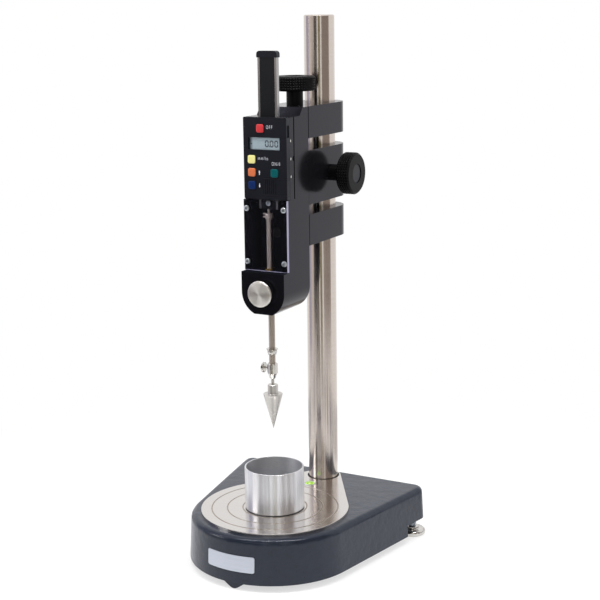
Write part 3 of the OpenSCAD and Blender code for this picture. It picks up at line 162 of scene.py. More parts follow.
# %% Helpers for places and bodies
def box_mm(node):
    low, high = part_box(node)
    return low / MM, high / MM


def middle(node):
    low, high = box_mm(node)
    return (low + high) / 2


def put_on(piece, body, slot, finish, *replaced):
    piece.data.materials.clear()
    piece.data.materials.append(finish)
    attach(piece, body)
    if replaced:
        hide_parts(*replaced)


def second_finish(name, finish, chosen):
    """Gives a second finish to the faces whose middle, in mm, passes the test."""
    mesh = bpy.data.objects[name].data
    mesh.materials.append(finish)
    for polygon in mesh.polygons:
        polygon.material_index = 1 if chosen(*(polygon.center / MM)) else 0
    print(name, "faces in", finish.name, sum(polygon.material_index for polygon in mesh.polygons))


print("helpers for places ready")

# %% [markdown]
# ## Colours and nodes
# Colours are written as the hex values a painter's chart would give, and one function turns them
# into the linear values that Blender works in. Another adds a shader node with its settings and
# links in one line. A texture's scale is worked out from the real size of what it draws.

# %% Helpers for finishes
SHARE, COLOUR_A, COLOUR_B, RESULT = 0, 6, 7, 2  # a Mix node's sockets when it mixes colours


def linear(code):
    shares = [int(code[i:i + 2], 16) / 255 for i in (1, 3, 5)]
    return (*(s / 12.92 if s <= 0.04045 else ((s + 0.055) / 1.055) ** 2.4 for s in shares), 1.0)


def add(tree, kind, settings=None, links=None):
    """Adds a node. A setting is a socket, by name or number, or else one of its properties."""
    node = tree.nodes.new(kind)
    for key, value in (settings or {}).items():
        if isinstance(key, int) or key in node.inputs:
            node.inputs[key].default_value = value
        else:
            setattr(node, key, value)
    for key, source in (links or {}).items():
        tree.links.new(source, node.inputs[key])
    return node


def new_finish(name, **sockets):
    finish = bpy.data.materials.new(name)
    finish.use_nodes = True
    tree = finish.node_tree
    shader = tree.nodes["Principled BSDF"]
    for key, value in sockets.items():
        shader.inputs[key.replace("_", " ")].default_value = value
    return finish, tree, shader


def show(tree, shader):
    tree.links.new(shader.outputs[0], tree.nodes["Material Output"].inputs["Surface"])


def per_mm(size):
    """A texture scale whose features are about this many millimetres wide."""
    return 1 / (size * MM)


print("white is", linear("#ffffff")[:3])

# %% [markdown]
# ## Floor and background
# The photograph is a cut-out on white, with even studio light. A white sheet could be lit until it
# clips, but that would flood the object too. So floor and world are white only to the eye, in
# mirrors and through glass, and give a softer light to everything else. Near the object the floor
# is real paper that takes the shadow, and it fades into plain white further out.

# %% Floor
FLOOR_SIZE, SHADOW_NEAR, SHADOW_FAR = 30, 0.18, 0.55  # metres


def direct_view(tree):
    """A socket that is 1 for what the eye sees, directly, in a mirror or through glass."""
    seen = add(tree, "ShaderNodeLightPath")
    either = add(tree, "ShaderNodeMath", {"operation": "MAXIMUM"},
                 {0: seen.outputs["Is Camera Ray"], 1: seen.outputs["Is Glossy Ray"]})
    either = add(tree, "ShaderNodeMath", {"operation": "MAXIMUM"},
                 {0: either.outputs[0], 1: seen.outputs["Is Transmission Ray"]})
    return either.outputs[0]


deselect_all()
bpy.ops.mesh.primitive_plane_add(size=FLOOR_SIZE)
floor = bpy.context.object
floor.name = "studio_floor"
paper, tree, shader = new_finish("studio_paper", Roughness=0.9, Base_Color=linear("#e6e6e6"))
glow = add(tree, "ShaderNodeEmission", {"Color": linear("#ffffff"), "Strength": 0.62})
shaded = add(tree, "ShaderNodeBsdfDiffuse", {"Color": linear("#a8a8a8")})
near = add(tree, "ShaderNodeAddShader", links={0: glow.outputs[0], 1: shaded.outputs[0]})
place = add(tree, "ShaderNodeTexCoord").outputs["Object"]
away = add(tree, "ShaderNodeVectorMath", {"operation": "LENGTH"}, {0: place})
fade = add(tree, "ShaderNodeMapRange",
           {"From Min": SHADOW_NEAR, "From Max": SHADOW_FAR, "interpolation_type": "SMOOTHSTEP"},
           {"Value": away.outputs["Value"]})
plain = add(tree, "ShaderNodeEmission", {"Color": linear("#ffffff"), "Strength": 1.0})
sheet = add(tree, "ShaderNodeMixShader",
            links={0: fade.outputs[0], 1: near.outputs[0], 2: plain.outputs[0]})
show(tree, add(tree, "ShaderNodeMixShader",
               links={0: direct_view(tree), 1: shader.outputs[0], 2: sheet.outputs[0]}))
floor.data.materials.append(paper)
print("floor made")

# %% World
world = bpy.data.worlds.new("white_studio")
bpy.context.scene.world = world
world.use_nodes = True
tree = world.node_tree
tree.nodes.clear()
soft = add(tree, "ShaderNodeBackground", {"Color": linear("#ffffff"), "Strength": 0.45})
bright = add(tree, "ShaderNodeBackground", {"Color": linear("#ffffff"), "Strength": 1.0})
mixed = add(tree, "ShaderNodeMixShader",
            links={0: direct_view(tree), 1: soft.outputs[0], 2: bright.outputs[0]})
add(tree, "ShaderNodeOutputWorld", links={"Surface": mixed.outputs[0]})
print("world made")

# %% [markdown]
# ## Lamps
# A product studio has large soft boxes left, right and above. Area lamps do the same. A narrow strip
# lamp above draws the thin bright line along the enamel's rim. The right and top lamps are hidden
# from mirrors, because their broad squares would wash out the polished steel.

# %% Lamps
AIM = Vector((0, 0, 0.26))  # the middle of the instrument's height


def lamp(name, place, width, height, watts):
    """A rectangle of light that looks at the instrument, in metres."""
    deselect_all()
    place = Vector(place)
    turn = (AIM - place).to_track_quat("-Z", "Y").to_euler()
    bpy.ops.object.light_add(type="AREA", location=place, rotation=turn)
    light = bpy.context.object
    light.name = name
    light.data.shape = "RECTANGLE"
    light.data.size, light.data.size_y = width, height
    light.data.energy = watts


lamp("left_lamp", (-1.3, -0.9, 1.2), 0.9, 1.3, 14)
lamp("right_lamp", (1.6, -0.1, 0.9), 0.7, 1.4, 12)
lamp("top_lamp", (0.1, 0.2, 1.9), 1.2, 1.2, 12)
lamp("strip_lamp", (0.1, -0.35, 1.5), 1.5, 0.05, 12)
for name in ("right_lamp", "top_lamp"):
    bpy.data.objects[name].visible_glossy = False
print("lamps made")

# %% [markdown]
# ## Cards
# Polished steel shows only what stands around it. In a studio that is a row of light and dark
# things, here boards of grey and olive card. They could be modelled as furniture, but upright boards
# that only mirrors see are enough. The front ones leave a gap at half height, where the column's
# reflection is bright beside the head.

# %% Reflection cards
def mirrors_only(piece, finish):
    piece.data.materials.append(finish)
    piece.visible_camera = piece.visible_shadow = piece.visible_diffuse = False


def card(name, azimuth, distance, half_angle, low, high, shade, middle_y):
    """An upright board, as wide as an angle on each side, round an upright axis at X = 0. Azimuth is
    its turn from the front towards the right, and low and high are its foot and top in metres."""
    deselect_all()
    turn = math.radians(azimuth)
    width = 2 * distance * math.tan(math.radians(half_angle))
    place = (math.sin(turn) * distance, middle_y - math.cos(turn) * distance, (low + high) / 2)
    bpy.ops.mesh.primitive_plane_add(size=1, location=place, rotation=(math.radians(90), 0, turn))
    board = bpy.context.object
    board.name = name
    board.scale = (width, high - low, 1)
    finish, tree, _ = new_finish(name + "_paint")
    show(tree, add(tree, "ShaderNodeEmission", {"Color": linear(shade), "Strength": 1.0}))
    mirrors_only(board, finish)


COLUMN_Y = middle("column").y * MM
HEAD_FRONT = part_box("head_body")[0].y
FLOOR_LEVEL, GAP_LOW, GAP_HIGH, CARD_TOP = 0.0, 0.26, 0.37, 1.2
for part, low, high in (("low", FLOOR_LEVEL, GAP_LOW), ("high", GAP_HIGH, CARD_TOP)):
    card("front_card_" + part, -2, 0.62, 12, low, high, "#5f5a55", COLUMN_Y)
    card("olive_card_" + part, 26, 0.72, 8, low, high, "#7f7649", COLUMN_Y)
    card("middle_card_" + part, -35, 0.76, 20, low, high, "#d3cbc5", COLUMN_Y)
card("right_card", 74, 0.8, 30, FLOOR_LEVEL, CARD_TOP, "#978d86", COLUMN_Y)
card("left_card", -71, 0.7, 15, FLOOR_LEVEL, CARD_TOP, "#b4b3c8", COLUMN_Y)
card("head_card", -28.5, 0.36, 14, 0.1, 0.44, "#3c3c40", HEAD_FRONT)
print("cards made")

# %% [markdown]
# ## A striped screen
# The cup's drawn wall shows many upright streaks, because it mirrors a busy bench. A bump on the cup
# would turn with it, so the streaks stand outside: a low ring round the cup, which only mirrors
# see, painted with soft stripes by a noise that runs round it.

# %% A low striped screen round the cup
SCREEN_R, SCREEN_H, SCREEN_Z, STRIPES = 0.3, 0.07, 0.036, 30.0
deselect_all()
bpy.ops.mesh.primitive_cylinder_add(vertices=96, radius=SCREEN_R, depth=SCREEN_H, end_fill_type="NOTHING",
                                    location=(cup_foot.x, cup_foot.y, SCREEN_Z))
screen = bpy.context.object
screen.name = "striped_screen"
finish, tree, _ = new_finish("striped_screen_paint")
place = add(tree, "ShaderNodeTexCoord").outputs["Object"]
around = add(tree, "ShaderNodeTexGradient", {"gradient_type": "RADIAL"}, {"Vector": place})
stripes = add(tree, "ShaderNodeTexNoise", {"noise_dimensions": "1D", "Scale": STRIPES, "Detail": 3.0},
              {"W": around.outputs["Fac"]})
share = add(tree, "ShaderNodeMapRange", {"From Min": 0.38, "From Max": 0.6},
            {"Value": stripes.outputs["Fac"]})
shade = add(tree, "ShaderNodeMix",
            {"data_type": "RGBA", COLOUR_A: linear("#8a8a90"), COLOUR_B: linear("#ffffff")},
            {SHARE: share.outputs[0]})
show(tree, add(tree, "ShaderNodeEmission", {"Strength": 1.0}, {"Color": shade.outputs[RESULT]}))
mirrors_only(screen, finish)
print("screen made")

# %% [markdown]
# ## Enamel
# The base is cast iron under a thick slate blue enamel, which fills the sand texture only in part. A
# coat over a dull base gives its wet shine. Two noises, one for the casting's lumps and one for the
# enamel's orange peel, bend both layers, and a third leaves a few pin holes. Object coordinates are
# used here and in all the finishes, so that a pattern stays on the piece when it moves.

# %% Enamel on cast iron
LUMP_MM, PEEL_MM, HOLE_MM = 9, 1.6, 2.4  # the peel is drawn coarser than it is, so that it shows
LUMP_DEEP, PEEL_DEEP = 0.7, 0.2
enamel, tree, shader = new_finish(
    "slate_enamel_cast_iron", Specular_IOR_Level=0.2, Specular_Tint=linear("#dfe4ff"),
    Coat_Weight=0.55, Coat_Roughness=0.08, Coat_Tint=linear("#eef0ff"))
place = add(tree, "ShaderNodeTexCoord").outputs["Object"]
lumps = add(tree, "ShaderNodeTexNoise", {"Scale": per_mm(LUMP_MM), "Detail": 3.0}, {"Vector": place})
peel = add(tree, "ShaderNodeTexNoise", {"Scale": per_mm(PEEL_MM), "Detail": 4.0}, {"Vector": place})
holes = add(tree, "ShaderNodeTexNoise", {"Scale": per_mm(HOLE_MM), "Detail": 1.0}, {"Vector": place})
shade = add(tree, "ShaderNodeMix",
            {"data_type": "RGBA", COLOUR_A: linear("#10171f"), COLOUR_B: linear("#1b232e")},
            {SHARE: lumps.outputs["Fac"]})
spots = add(tree, "ShaderNodeMapRange", {"From Min": 0.71, "From Max": 0.75},
            {"Value": holes.outputs["Fac"]})
pitted = add(tree, "ShaderNodeMix", {"data_type": "RGBA", COLOUR_B: linear("#0f1319")},
             {SHARE: spots.outputs[0], COLOUR_A: shade.outputs[RESULT]})
tree.links.new(pitted.outputs[RESULT], shader.inputs["Base Color"])
gloss = add(tree, "ShaderNodeMapRange", {"To Min": 0.26, "To Max": 0.46}, {"Value": peel.outputs["Fac"]})
tree.links.new(gloss.outputs[0], shader.inputs["Roughness"])
coarse = add(tree, "ShaderNodeBump", {"Strength": 0.55, "Distance": LUMP_DEEP * MM},
             {"Height": lumps.outputs["Fac"]})
fine = add(tree, "ShaderNodeBump", {"Strength": 0.5, "Distance": PEEL_DEEP * MM},
           {"Height": peel.outputs["Fac"], "Normal": coarse.outputs[0]})
for socket in ("Normal", "Coat Normal"):
    tree.links.new(fine.outputs[0], shader.inputs[socket])
print("made", enamel.name)

# %% [markdown]
# ## Metals
# Every tool leaves its own marks: a grinder long fine lines, a lathe rings, blasting a dull grain.
# One noise that is stretched along the tool's way draws them all, as faint changes of shade and
# height, and slow clouds vary the gloss as handling does. Real lines are a few hundredths of a
# millimetre wide, too fine to show, so they are drawn about half a millimetre wide. On lathe work
# the reflections are drawn out across the rings, which the shader's anisotropy does round an axis.

# %% Marks that a tool leaves
def tool_marks(tree, shader, marks_mm, dark, light, rough, spread, deep_um, cloud_mm, ragged):
    """Marks of a size along X, Y and Z shade and dent a surface, and clouds change its gloss."""
    place = add(tree, "ShaderNodeTexCoord").outputs["Object"]
    marks = add(tree, "ShaderNodeMapping", {"Scale": [per_mm(s) for s in marks_mm]}, {"Vector": place})
    lines = add(tree, "ShaderNodeTexNoise", {"Scale": 1.0, "Detail": 3.0, "Roughness": ragged},
                {"Vector": marks.outputs[0]})
    clouds = add(tree, "ShaderNodeTexNoise", {"Scale": per_mm(cloud_mm), "Detail": 2.0},
                 {"Vector": place})
    shade = add(tree, "ShaderNodeMix",
                {"data_type": "RGBA", COLOUR_A: linear(dark), COLOUR_B: linear(light)},
                {SHARE: lines.outputs["Fac"]})
    tree.links.new(shade.outputs[RESULT], shader.inputs["Base Color"])
    gloss = add(tree, "ShaderNodeMapRange",
                {"From Min": 0.25, "From Max": 0.75, "To Min": rough, "To Max": rough + spread},
                {"Value": clouds.outputs["Fac"]})
    tree.links.new(gloss.outputs[0], shader.inputs["Roughness"])
    bump = add(tree, "ShaderNodeBump", {"Strength": 0.3, "Distance": deep_um * MM / 1000},
               {"Height": lines.outputs["Fac"]})
    tree.links.new(bump.outputs[0], shader.inputs["Normal"])


def metal(name, light, dark, marks_mm, rough, spread, deep_um, turned=0.0):
    """A bare metal: its two shades, the marks' size, roughness and its spread, the marks' depth, and
    how far turning on a lathe draws the reflections out across the rings."""
    finish, tree, shader = new_finish(name, Metallic=1.0, Anisotropic=turned, Anisotropic_Rotation=0.25)
    if turned:
        way = add(tree, "ShaderNodeTangent", {"direction_type": "RADIAL", "axis": "Z"})
        tree.links.new(way.outputs[0], shader.inputs["Tangent"])
    tool_marks(tree, shader, marks_mm, dark, light, rough, spread, deep_um, cloud_mm=35, ragged=0.6)
    return finish


print("tool marks ready")

# %% Ground and turned steels
# Long lines across the plate: reflections stay clear and are only a little soft.
plate_steel = metal("ground_stainless_plate", "#dedbd8", "#cec9c5", (60, 0.5, 3), 0.15, 0.05, 8)
# Rings round the column: its upright reflections keep sharp sides and run together in height.
column_steel = metal("ground_stainless_column", "#d8cec7", "#c6bcb4", (40, 40, 0.5), 0.16, 0.06, 20, 0.6)
# A satin grey bar with lines along it.
beam_steel = metal("ground_stainless_beam", "#b3b1b1", "#9b9999", (0.4, 3, 30), 0.26, 0.08, 20)
# Warm and dull behind the window.
plunger_steel = metal("turned_stainless_rod", "#b9afa5", "#a2988e", (9, 9, 0.35), 0.4, 0.08, 20, 0.6)
# An even, matt grain that mirrors nothing, lighter than the rod's steel: the extra lightness is painted
# light.
lug_steel = metal("blasted_steel_lug", "#cbc1b7", "#b3a99f", (1, 1, 1), 0.62, 0.1, 30)
# Duller and darker than the plate: the darker colour is painted shade, so its rings read as dark lines.
groove_steel = metal("rough_turned_groove", "#bdb3a8", "#a2988d", (3, 3, 3), 0.3, 0.1, 20)
# Rings that fan the light out into two bands on the cone.
cone_steel = metal("turned_stainless_cone", "#d2cfcb", "#bdbab6", (20, 20, 0.4), 0.24, 0.08, 20, 0.6)
print("made the steels")

# %% Other metals
# Nearly a mirror, a little warm.
nickel = metal("polished_nickel", "#d5d2ce", "#c8c5c1", (7, 7, 7), 0.08, 0.08, 5)
# Cool, cloudy and half dull.
zinc = metal("bright_zinc", "#c6ccd2", "#aeb4ba", (2.5, 2.5, 2.5), 0.24, 0.10, 10)
# Yellow with fine turning rings.
brass = metal("turned_brass", "#cfae62", "#b18f45", (6, 6, 0.35), 0.24, 0.10, 20)
# Pale upright streaks round the wall, as drawing a tube leaves them.
cup_metal = metal("drawn_aluminium_tube", "#fafafc", "#d2d2d7", (1.6, 1.6, 90), 0.28, 0.04, 10, 0.94)
# Matt inside the tube, and darker: painted shade for the cup's inside and the undercut at its foot.
cup_bore = metal("etched_aluminium_bore", "#c6c7cb", "#a9aaae", (4, 4, 0.5), 0.5, 0.1, 60, 0.5)
# Brushed from side to side, a cool light grey.
bare_silver = metal("brushed_silver_plate", "#c6cbd6", "#b2b7c2", (26, 8, 0.5), 0.3, 0.08, 10)
print("made the other metals")

# %% [markdown]
# ## Turned face of the button
# The release button's low dome is faced on a lathe, and its rings are finer than a pixel. Drawn
# lines would only flicker, so the rings are left to the shader: strong anisotropy round the
# button's axis fans the light out in two rays.

# %% Button steel
button_metal, tree, shader = new_finish("turned_button_steel", Metallic=1.0, Roughness=0.38,
                                        Base_Color=linear("#efebe5"), Anisotropic=0.95,
                                        Anisotropic_Rotation=0.25)
way = add(tree, "ShaderNodeTangent", {"direction_type": "RADIAL", "axis": "Y"})
tree.links.new(way.outputs[0], shader.inputs["Tangent"])
print("made", button_metal.name)

# %% [markdown]
# ## Black finishes
# Anodised aluminium keeps the lines of the milling under a dense black layer, ABS comes from an
# etched mould with a fine grain, and phenolic from a polished one. Black shows little but its
# highlights, so the finishes differ in gloss and grain more than in colour. The same tool marks draw
# them, on a shader without metal, because the black layer hides it. The grains of milling and mould
# are drawn at half a millimetre, several times their real size, so that they show.

# %% Black finishes
def black(name, dark, light, grain_mm, rough, spread, deep_um, shine, tint="#ffffff"):
    """A black surface: its two shades, the grain's size, roughness and its spread, and its shine."""
    finish, tree, shader = new_finish(name, Specular_IOR_Level=shine, Specular_Tint=linear(tint))
    tool_marks(tree, shader, grain_mm, dark, light, rough, spread, deep_um, cloud_mm=28, ragged=0.5)
    return finish


# Satin with a faint violet in its shine, as dyed anodising has.
anodised = black("black_anodised_aluminium", "#0d0d10", "#141417", (0.5, 0.5, 26), 0.13, 0.05, 6,
                 0.21, "#dcd8ff")
# A fine even grain that scatters highlights.
case_plastic = black("grained_black_abs", "#0b0c10", "#101218", (0.5, 0.5, 0.5), 0.36, 0.1, 30,
                     0.3, "#e6e8ff")
# Smooth and plain.
strip_plastic = black("smooth_black_polyester", "#0d0f13", "#121419", (2, 2, 2), 0.3, 0.06, 5, 0.25)
# The deepest black, with a soft dull sheen.
phenolic = black("moulded_black_phenolic", "#070708", "#0c0c0e", (1.2, 1.2, 1.2), 0.4, 0.08, 10, 0.1)
# Oiled steel, a little brighter on its edges.
black_oxide = black("black_oxide_steel", "#0c0c0e", "#141417", (2, 2, 2), 0.36, 0.08, 10, 0.35)
# No shine at all, as the unpolished floor of a pocket.
matt_black = black("matt_black_pocket", "#101216", "#171a20", (0.8, 0.8, 0.8), 0.6, 0.1, 20, 0.0)
print("made the black finishes")

# %% [markdown]
# ## Coloured plastics
# The keys are moulded in dyed plastic, the level holds a dyed liquid, and the words are printed. A
# flat colour would look like paper, so a fine cloud makes each a little uneven in shade and height.

# %% Plastics of the keys, display, board and marks
CLOUD_MM, DIMPLE_UM = 1.2, 20


def moulded(name, code, rough=0.32, mottle=0.06, shine=0.5):
    finish, tree, shader = new_finish(name, Specular_IOR_Level=shine, Roughness=rough)
    place = add(tree, "ShaderNodeTexCoord").outputs["Object"]
    cloud = add(tree, "ShaderNodeTexNoise", {"Scale": per_mm(CLOUD_MM), "Detail": 2.0}, {"Vector": place})
    red, green, blue, _ = linear(code)
    dark = [c * (1 - mottle) for c in (red, green, blue)]
    light = [min(1, c * (1 + mottle)) for c in (red, green, blue)]
    shade = add(tree, "ShaderNodeMix",
                {"data_type": "RGBA", COLOUR_A: (*dark, 1.0), COLOUR_B: (*light, 1.0)},
                {SHARE: cloud.outputs["Fac"]})
    tree.links.new(shade.outputs[RESULT], shader.inputs["Base Color"])
    bump = add(tree, "ShaderNodeBump", {"Strength": 0.15, "Distance": DIMPLE_UM * MM / 1000},
               {"Height": cloud.outputs["Fac"]})
    tree.links.new(bump.outputs[0], shader.inputs["Normal"])
    return finish


# Half gloss on the bright keys, and less on the two dark ones, whose colour is deep.
key_red = moulded("red_key_plastic", "#c42d33")
key_yellow = moulded("yellow_key_plastic", "#e6de90")
key_orange = moulded("orange_key_plastic", "#cd6b3e")
key_blue = moulded("blue_key_plastic", "#0b2659", shine=0.15)
key_teal = moulded("teal_key_plastic", "#005054", shine=0.15)
# Ink lies matt on what carries it.
segment_ink = moulded("display_segment", "#2b3238", 0.3, 0.02)
print_white = moulded("printed_white", "#dcdce8", 0.5, 0.02)
level_mark = moulded("level_mark", "#1d2a12", 0.3, 0.02)
# Lacquer on the board, and liquid and bubble under glass: glossy and clear in colour.
board_green = moulded("circuit_board", "#1e5a33", 0.45)
level_liquid = moulded("level_liquid", "#a8e03a", 0.1, 0.05)
level_bubble = moulded("level_bubble", "#d9f58a", 0.08, 0.03)
print("made the plastics")

# %% [markdown]
# ## The display's glass
# A liquid crystal display is grey-green glass. It lies in a recess, and the recess's left wall casts
# a shade over its left edge. That shade is painted into the glass's colour, which runs from dark to
# grey over a few millimetres from the panel's left edge.

# %% Display glass with painted shade at its left edge
# Where the painted shade of the recess wall runs from dark to grey, in mm from the panel's left edge.
SHADE_FROM, SHADE_TO = 0.6, 4.4
display = moulded("liquid_crystal_glass", "#98a6ae", 0.16, 0.03)
tree = display.node_tree
shader = tree.nodes["Principled BSDF"]
grey = shader.inputs["Base Color"].links[0].from_socket
place = add(tree, "ShaderNodeTexCoord").outputs["Object"]
split = add(tree, "ShaderNodeSeparateXYZ", links={"Vector": place})
edge_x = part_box("lcd_panel")[0].x
across = add(tree, "ShaderNodeMapRange",
             {"From Min": edge_x + SHADE_FROM * MM, "From Max": edge_x + SHADE_TO * MM},
             {"Value": split.outputs["X"]})
# The dark colour at the left edge is painted shade of the recess wall.
recess_shaded = add(tree, "ShaderNodeMix", {"data_type": "RGBA", COLOUR_A: linear("#15181b")},
            {SHARE: across.outputs[0], COLOUR_B: grey})
tree.links.new(recess_shaded.outputs[RESULT], shader.inputs["Base Color"])
print("made", display.name)

# %% [markdown]
# ## Acrylic
# The window is a sheet of clear acrylic, polished on its faces and sawn at its edges. Glass in Blender
# keeps lamps out of what lies behind it unless many light paths are traced. So the sheet is glass to
# the eye, and plainly see-through to shadows and soft light. The sawn edge is matt and pale.

# %% Clear acrylic and its sawn edge
HAZE_MM = 14
acrylic, tree, shader = new_finish("clear_acrylic", Roughness=0.02, IOR=1.49, Specular_IOR_Level=0.3,
                                   Transmission_Weight=1.0)
place = add(tree, "ShaderNodeTexCoord").outputs["Object"]
haze = add(tree, "ShaderNodeTexNoise", {"Scale": per_mm(HAZE_MM), "Detail": 2.0}, {"Vector": place})
tint = add(tree, "ShaderNodeMix",
           {"data_type": "RGBA", COLOUR_A: linear("#f3f3fb"), COLOUR_B: linear("#fafaff")},
           {SHARE: haze.outputs["Fac"]})
tree.links.new(tint.outputs[RESULT], shader.inputs["Base Color"])
seen = add(tree, "ShaderNodeLightPath")
light_ray = add(tree, "ShaderNodeMath", {"operation": "MAXIMUM"},
                {0: seen.outputs["Is Shadow Ray"], 1: seen.outputs["Is Diffuse Ray"]})
through = add(tree, "ShaderNodeBsdfTransparent", {"Color": linear("#f6f6fc")})
show(tree, add(tree, "ShaderNodeMixShader",
               links={0: light_ray.outputs[0], 1: shader.outputs[0], 2: through.outputs[0]}))
sawn_edge = moulded("sawn_acrylic_edge", "#918ea6", 0.5, 0.05)
print("made", acrylic.name, "and", sawn_edge.name)

# %% [markdown]
# ## Solids that stay
# Where a solid's shape is right as it is, a copy would add nothing. It keeps its mesh and only takes
# a finish. Most of these are hidden for the greater part, such as dowels, bushes and the battery.

# %% Finishes for solids that stay
STAYING = {
    "plate_screws": zinc, "level_case": cup_metal, "level_vial": level_liquid,
    "column_bolt": zinc, "column_washer": zinc, "fine_nut": brass, "outer_cotter": brass,
    "inner_cotter": brass, "lock_knob": phenolic, "lock_screw": zinc, "arm_screws": black_oxide,
    "arm_dowels": zinc, "fine_knob": phenolic, "fine_collar": zinc, "upper_bush": brass,
    "lower_bush": brass, "release_shaft": anodised, "gauge_screws": zinc, "gib_strip": brass,
    "gib_screws": nickel, "gauge_board": board_green, "lcd_panel": display, "battery": nickel,
    "scale_beam": beam_steel, "beam_strip": strip_plastic, "beam_cap": case_plastic,
    "plunger_lug": lug_steel,
}
for node, finish in STAYING.items():
    nodes[node].data.materials.clear()
    nodes[node].data.materials.append(finish)
print("solids that stay:", len(STAYING))

# %% [markdown]
# ## Soft edges
# A machined or cast edge is never perfectly sharp: it catches a thin line of light. A rounded edge
# could be faked in the shader, but then the outline would stay sharp. So a copy of each of these
# solids is welded, its flat faces are joined again, and its edges are bevelled.

# %% Soften the edges of the machined and cast pieces
WELD, FLAT_ANGLE, EDGE_ANGLE = 0.002, 1, 35


def soften(node, name, body, slot, finish, width):
    only(nodes[node])
    bpy.ops.object.duplicate(linked=False)
    piece = bpy.context.object
    piece.name = name
    piece.data.name = name
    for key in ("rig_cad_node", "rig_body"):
        if key in piece:
            del piece[key]
    bpy.ops.mesh.customdata_custom_splitnormals_clear()
    bpy.ops.object.mode_set(mode="EDIT")
    bpy.ops.mesh.select_all(action="SELECT")
    bpy.ops.mesh.remove_doubles(threshold=WELD * MM)
    bpy.ops.mesh.dissolve_limited(angle_limit=math.radians(FLAT_ANGLE))
    bpy.ops.object.mode_set(mode="OBJECT")
    apply_modifier(piece, "BEVEL", width=width * MM, segments=2, limit_method="ANGLE",
                   angle_limit=math.radians(EDGE_ANGLE), use_clamp_overlap=True)
    keep_flat(piece)
    put_on(piece, body, slot, finish, node)
    return piece


# The solid, the new piece, its body, slot and finish, and the bevel's width in mm.
SOFT_EDGES = [
    ("base_casting", "cast_base", "stand", "base_enamel", enamel, 0.8),
    ("work_plate", "work_plate_steel", "stand", "ground_steel", plate_steel, 0.4),
    ("head_body", "head_casting", "head", "black_anodised", anodised, 0.35),
    ("upper_arm", "upper_arm_bar", "head", "black_anodised", anodised, 0.4),
    ("lower_arm", "lower_arm_bar", "head", "black_anodised", anodised, 0.4),
    ("clamp_block", "clamp_block_bar", "clamp_block", "black_anodised", anodised, 0.4),
    ("gauge_case", "gauge_shell", "head", "black_plastic", case_plastic, 0.35),
    ("gauge_slider", "gauge_slide_body", "head", "black_anodised", anodised, 0.25),
    ("battery_cover", "battery_lid", "battery_cover", "black_plastic", case_plastic, 0.15),
    ("window_cover", "window_sheet", "head", "clear_acrylic", acrylic, 0.25),
    ("front_plate", "bare_front_plate", "stand", "label_silver", bare_silver, 0.12),
]
softened = [soften(*row) for row in SOFT_EDGES]
print("softened:", [piece.name for piece in softened])

# %% [markdown]
# ## Joint lines
# Where head, gauge and arms meet, a narrow rebate at their sides keeps the joint from showing a step.
# It reads as one dark line. A painted line would be flat from the side, so the points at the edge of
# the rebate are picked by their place and moved back a little, until the shadow in it is as wide as
# the real one.

# %% Widen the joint lines
SIDE_BAND = 1.2


def widen_joint(name, at_y, near, shift):
    """Moves the edge of a rebate at the sides of the head, all in mm along Y."""
    side = box_mm("head_body")[1].x
    moved = 0
    for vertex in bpy.data.objects[name].data.vertices:
        at_side = abs(vertex.co.x) > (side - SIDE_BAND) * MM
        if at_side and abs(vertex.co.y - at_y * MM) < near * MM:
            vertex.co.y += shift * MM
            moved += 1
    print(name, "points moved:", moved)


widen_joint("gauge_slide_body", at_y=box_mm("gauge_slider")[1].y - 0.9, near=0.4, shift=-0.9)
for arm in ("upper_arm", "lower_arm"):
    widen_joint(arm + "_bar", at_y=box_mm(arm)[0].y + 0.5, near=0.42, shift=0.7)

# %% [markdown]
# ## Two finishes on one piece
# The plate's rings are cut after it is ground, and their darker colour is painted shade in the grooves.
# The head's pocket is left unpolished, and the window's edges are sawn. Each is a surface of the same
# piece, so no piece is added: the faces are chosen by their place and take a second finish. The sheet is
# flat all over, so it is shaded flat.

# %% Grooves of the plate
GROOVE_TOP, GROOVE_DEEP, GROOVES_REACH = 0.05, 0.45, 64
plate_top, plate_y = box_mm("work_plate")[1].z, middle("cup").y
# The faces inside the grooves take the darker finish, whose darkness is painted shade.
second_finish("work_plate_steel", groove_steel, lambda x, y, z: (
    GROOVE_TOP < plate_top - z < GROOVE_DEEP and math.hypot(x, y - plate_y) < GROOVES_REACH))

# %% Pocket behind the window, and the window's right and lower edges
POCKET_HALF, POCKET_MARGIN, EDGE_BAND = 16.8, 1, 0.2
cover_low, cover_high = box_mm("window_cover")
second_finish("head_casting", matt_black, lambda x, y, z: (
    cover_high.y + 0.5 < y < 0 and abs(x) < POCKET_HALF
    and cover_low.z - POCKET_MARGIN < z < cover_high.z + POCKET_MARGIN))
second_finish("window_sheet", sawn_edge, lambda x, y, z: (
    cover_high.x - x < EDGE_BAND or z - cover_low.z < EDGE_BAND))
only(bpy.data.objects["window_sheet"])
bpy.ops.mesh.customdata_custom_splitnormals_clear()
bpy.ops.object.shade_flat()

# %% [markdown]
# ## Turned pieces
# The column, plunger, cone and feet are made on a lathe. A cylinder primitive would need a cut for
# every shoulder, so here each is drawn as one outline of radius and height, point by point, and spun
# round its axis, as the tool does it.

# %% A lathe made of two operators
TO_FRONT = Matrix.Rotation(math.radians(90), 3, "X")
TO_RIGHT = Matrix.Rotation(math.radians(90), 3, "Y")
TO_LEFT = Matrix.Rotation(math.radians(-90), 3, "Y")


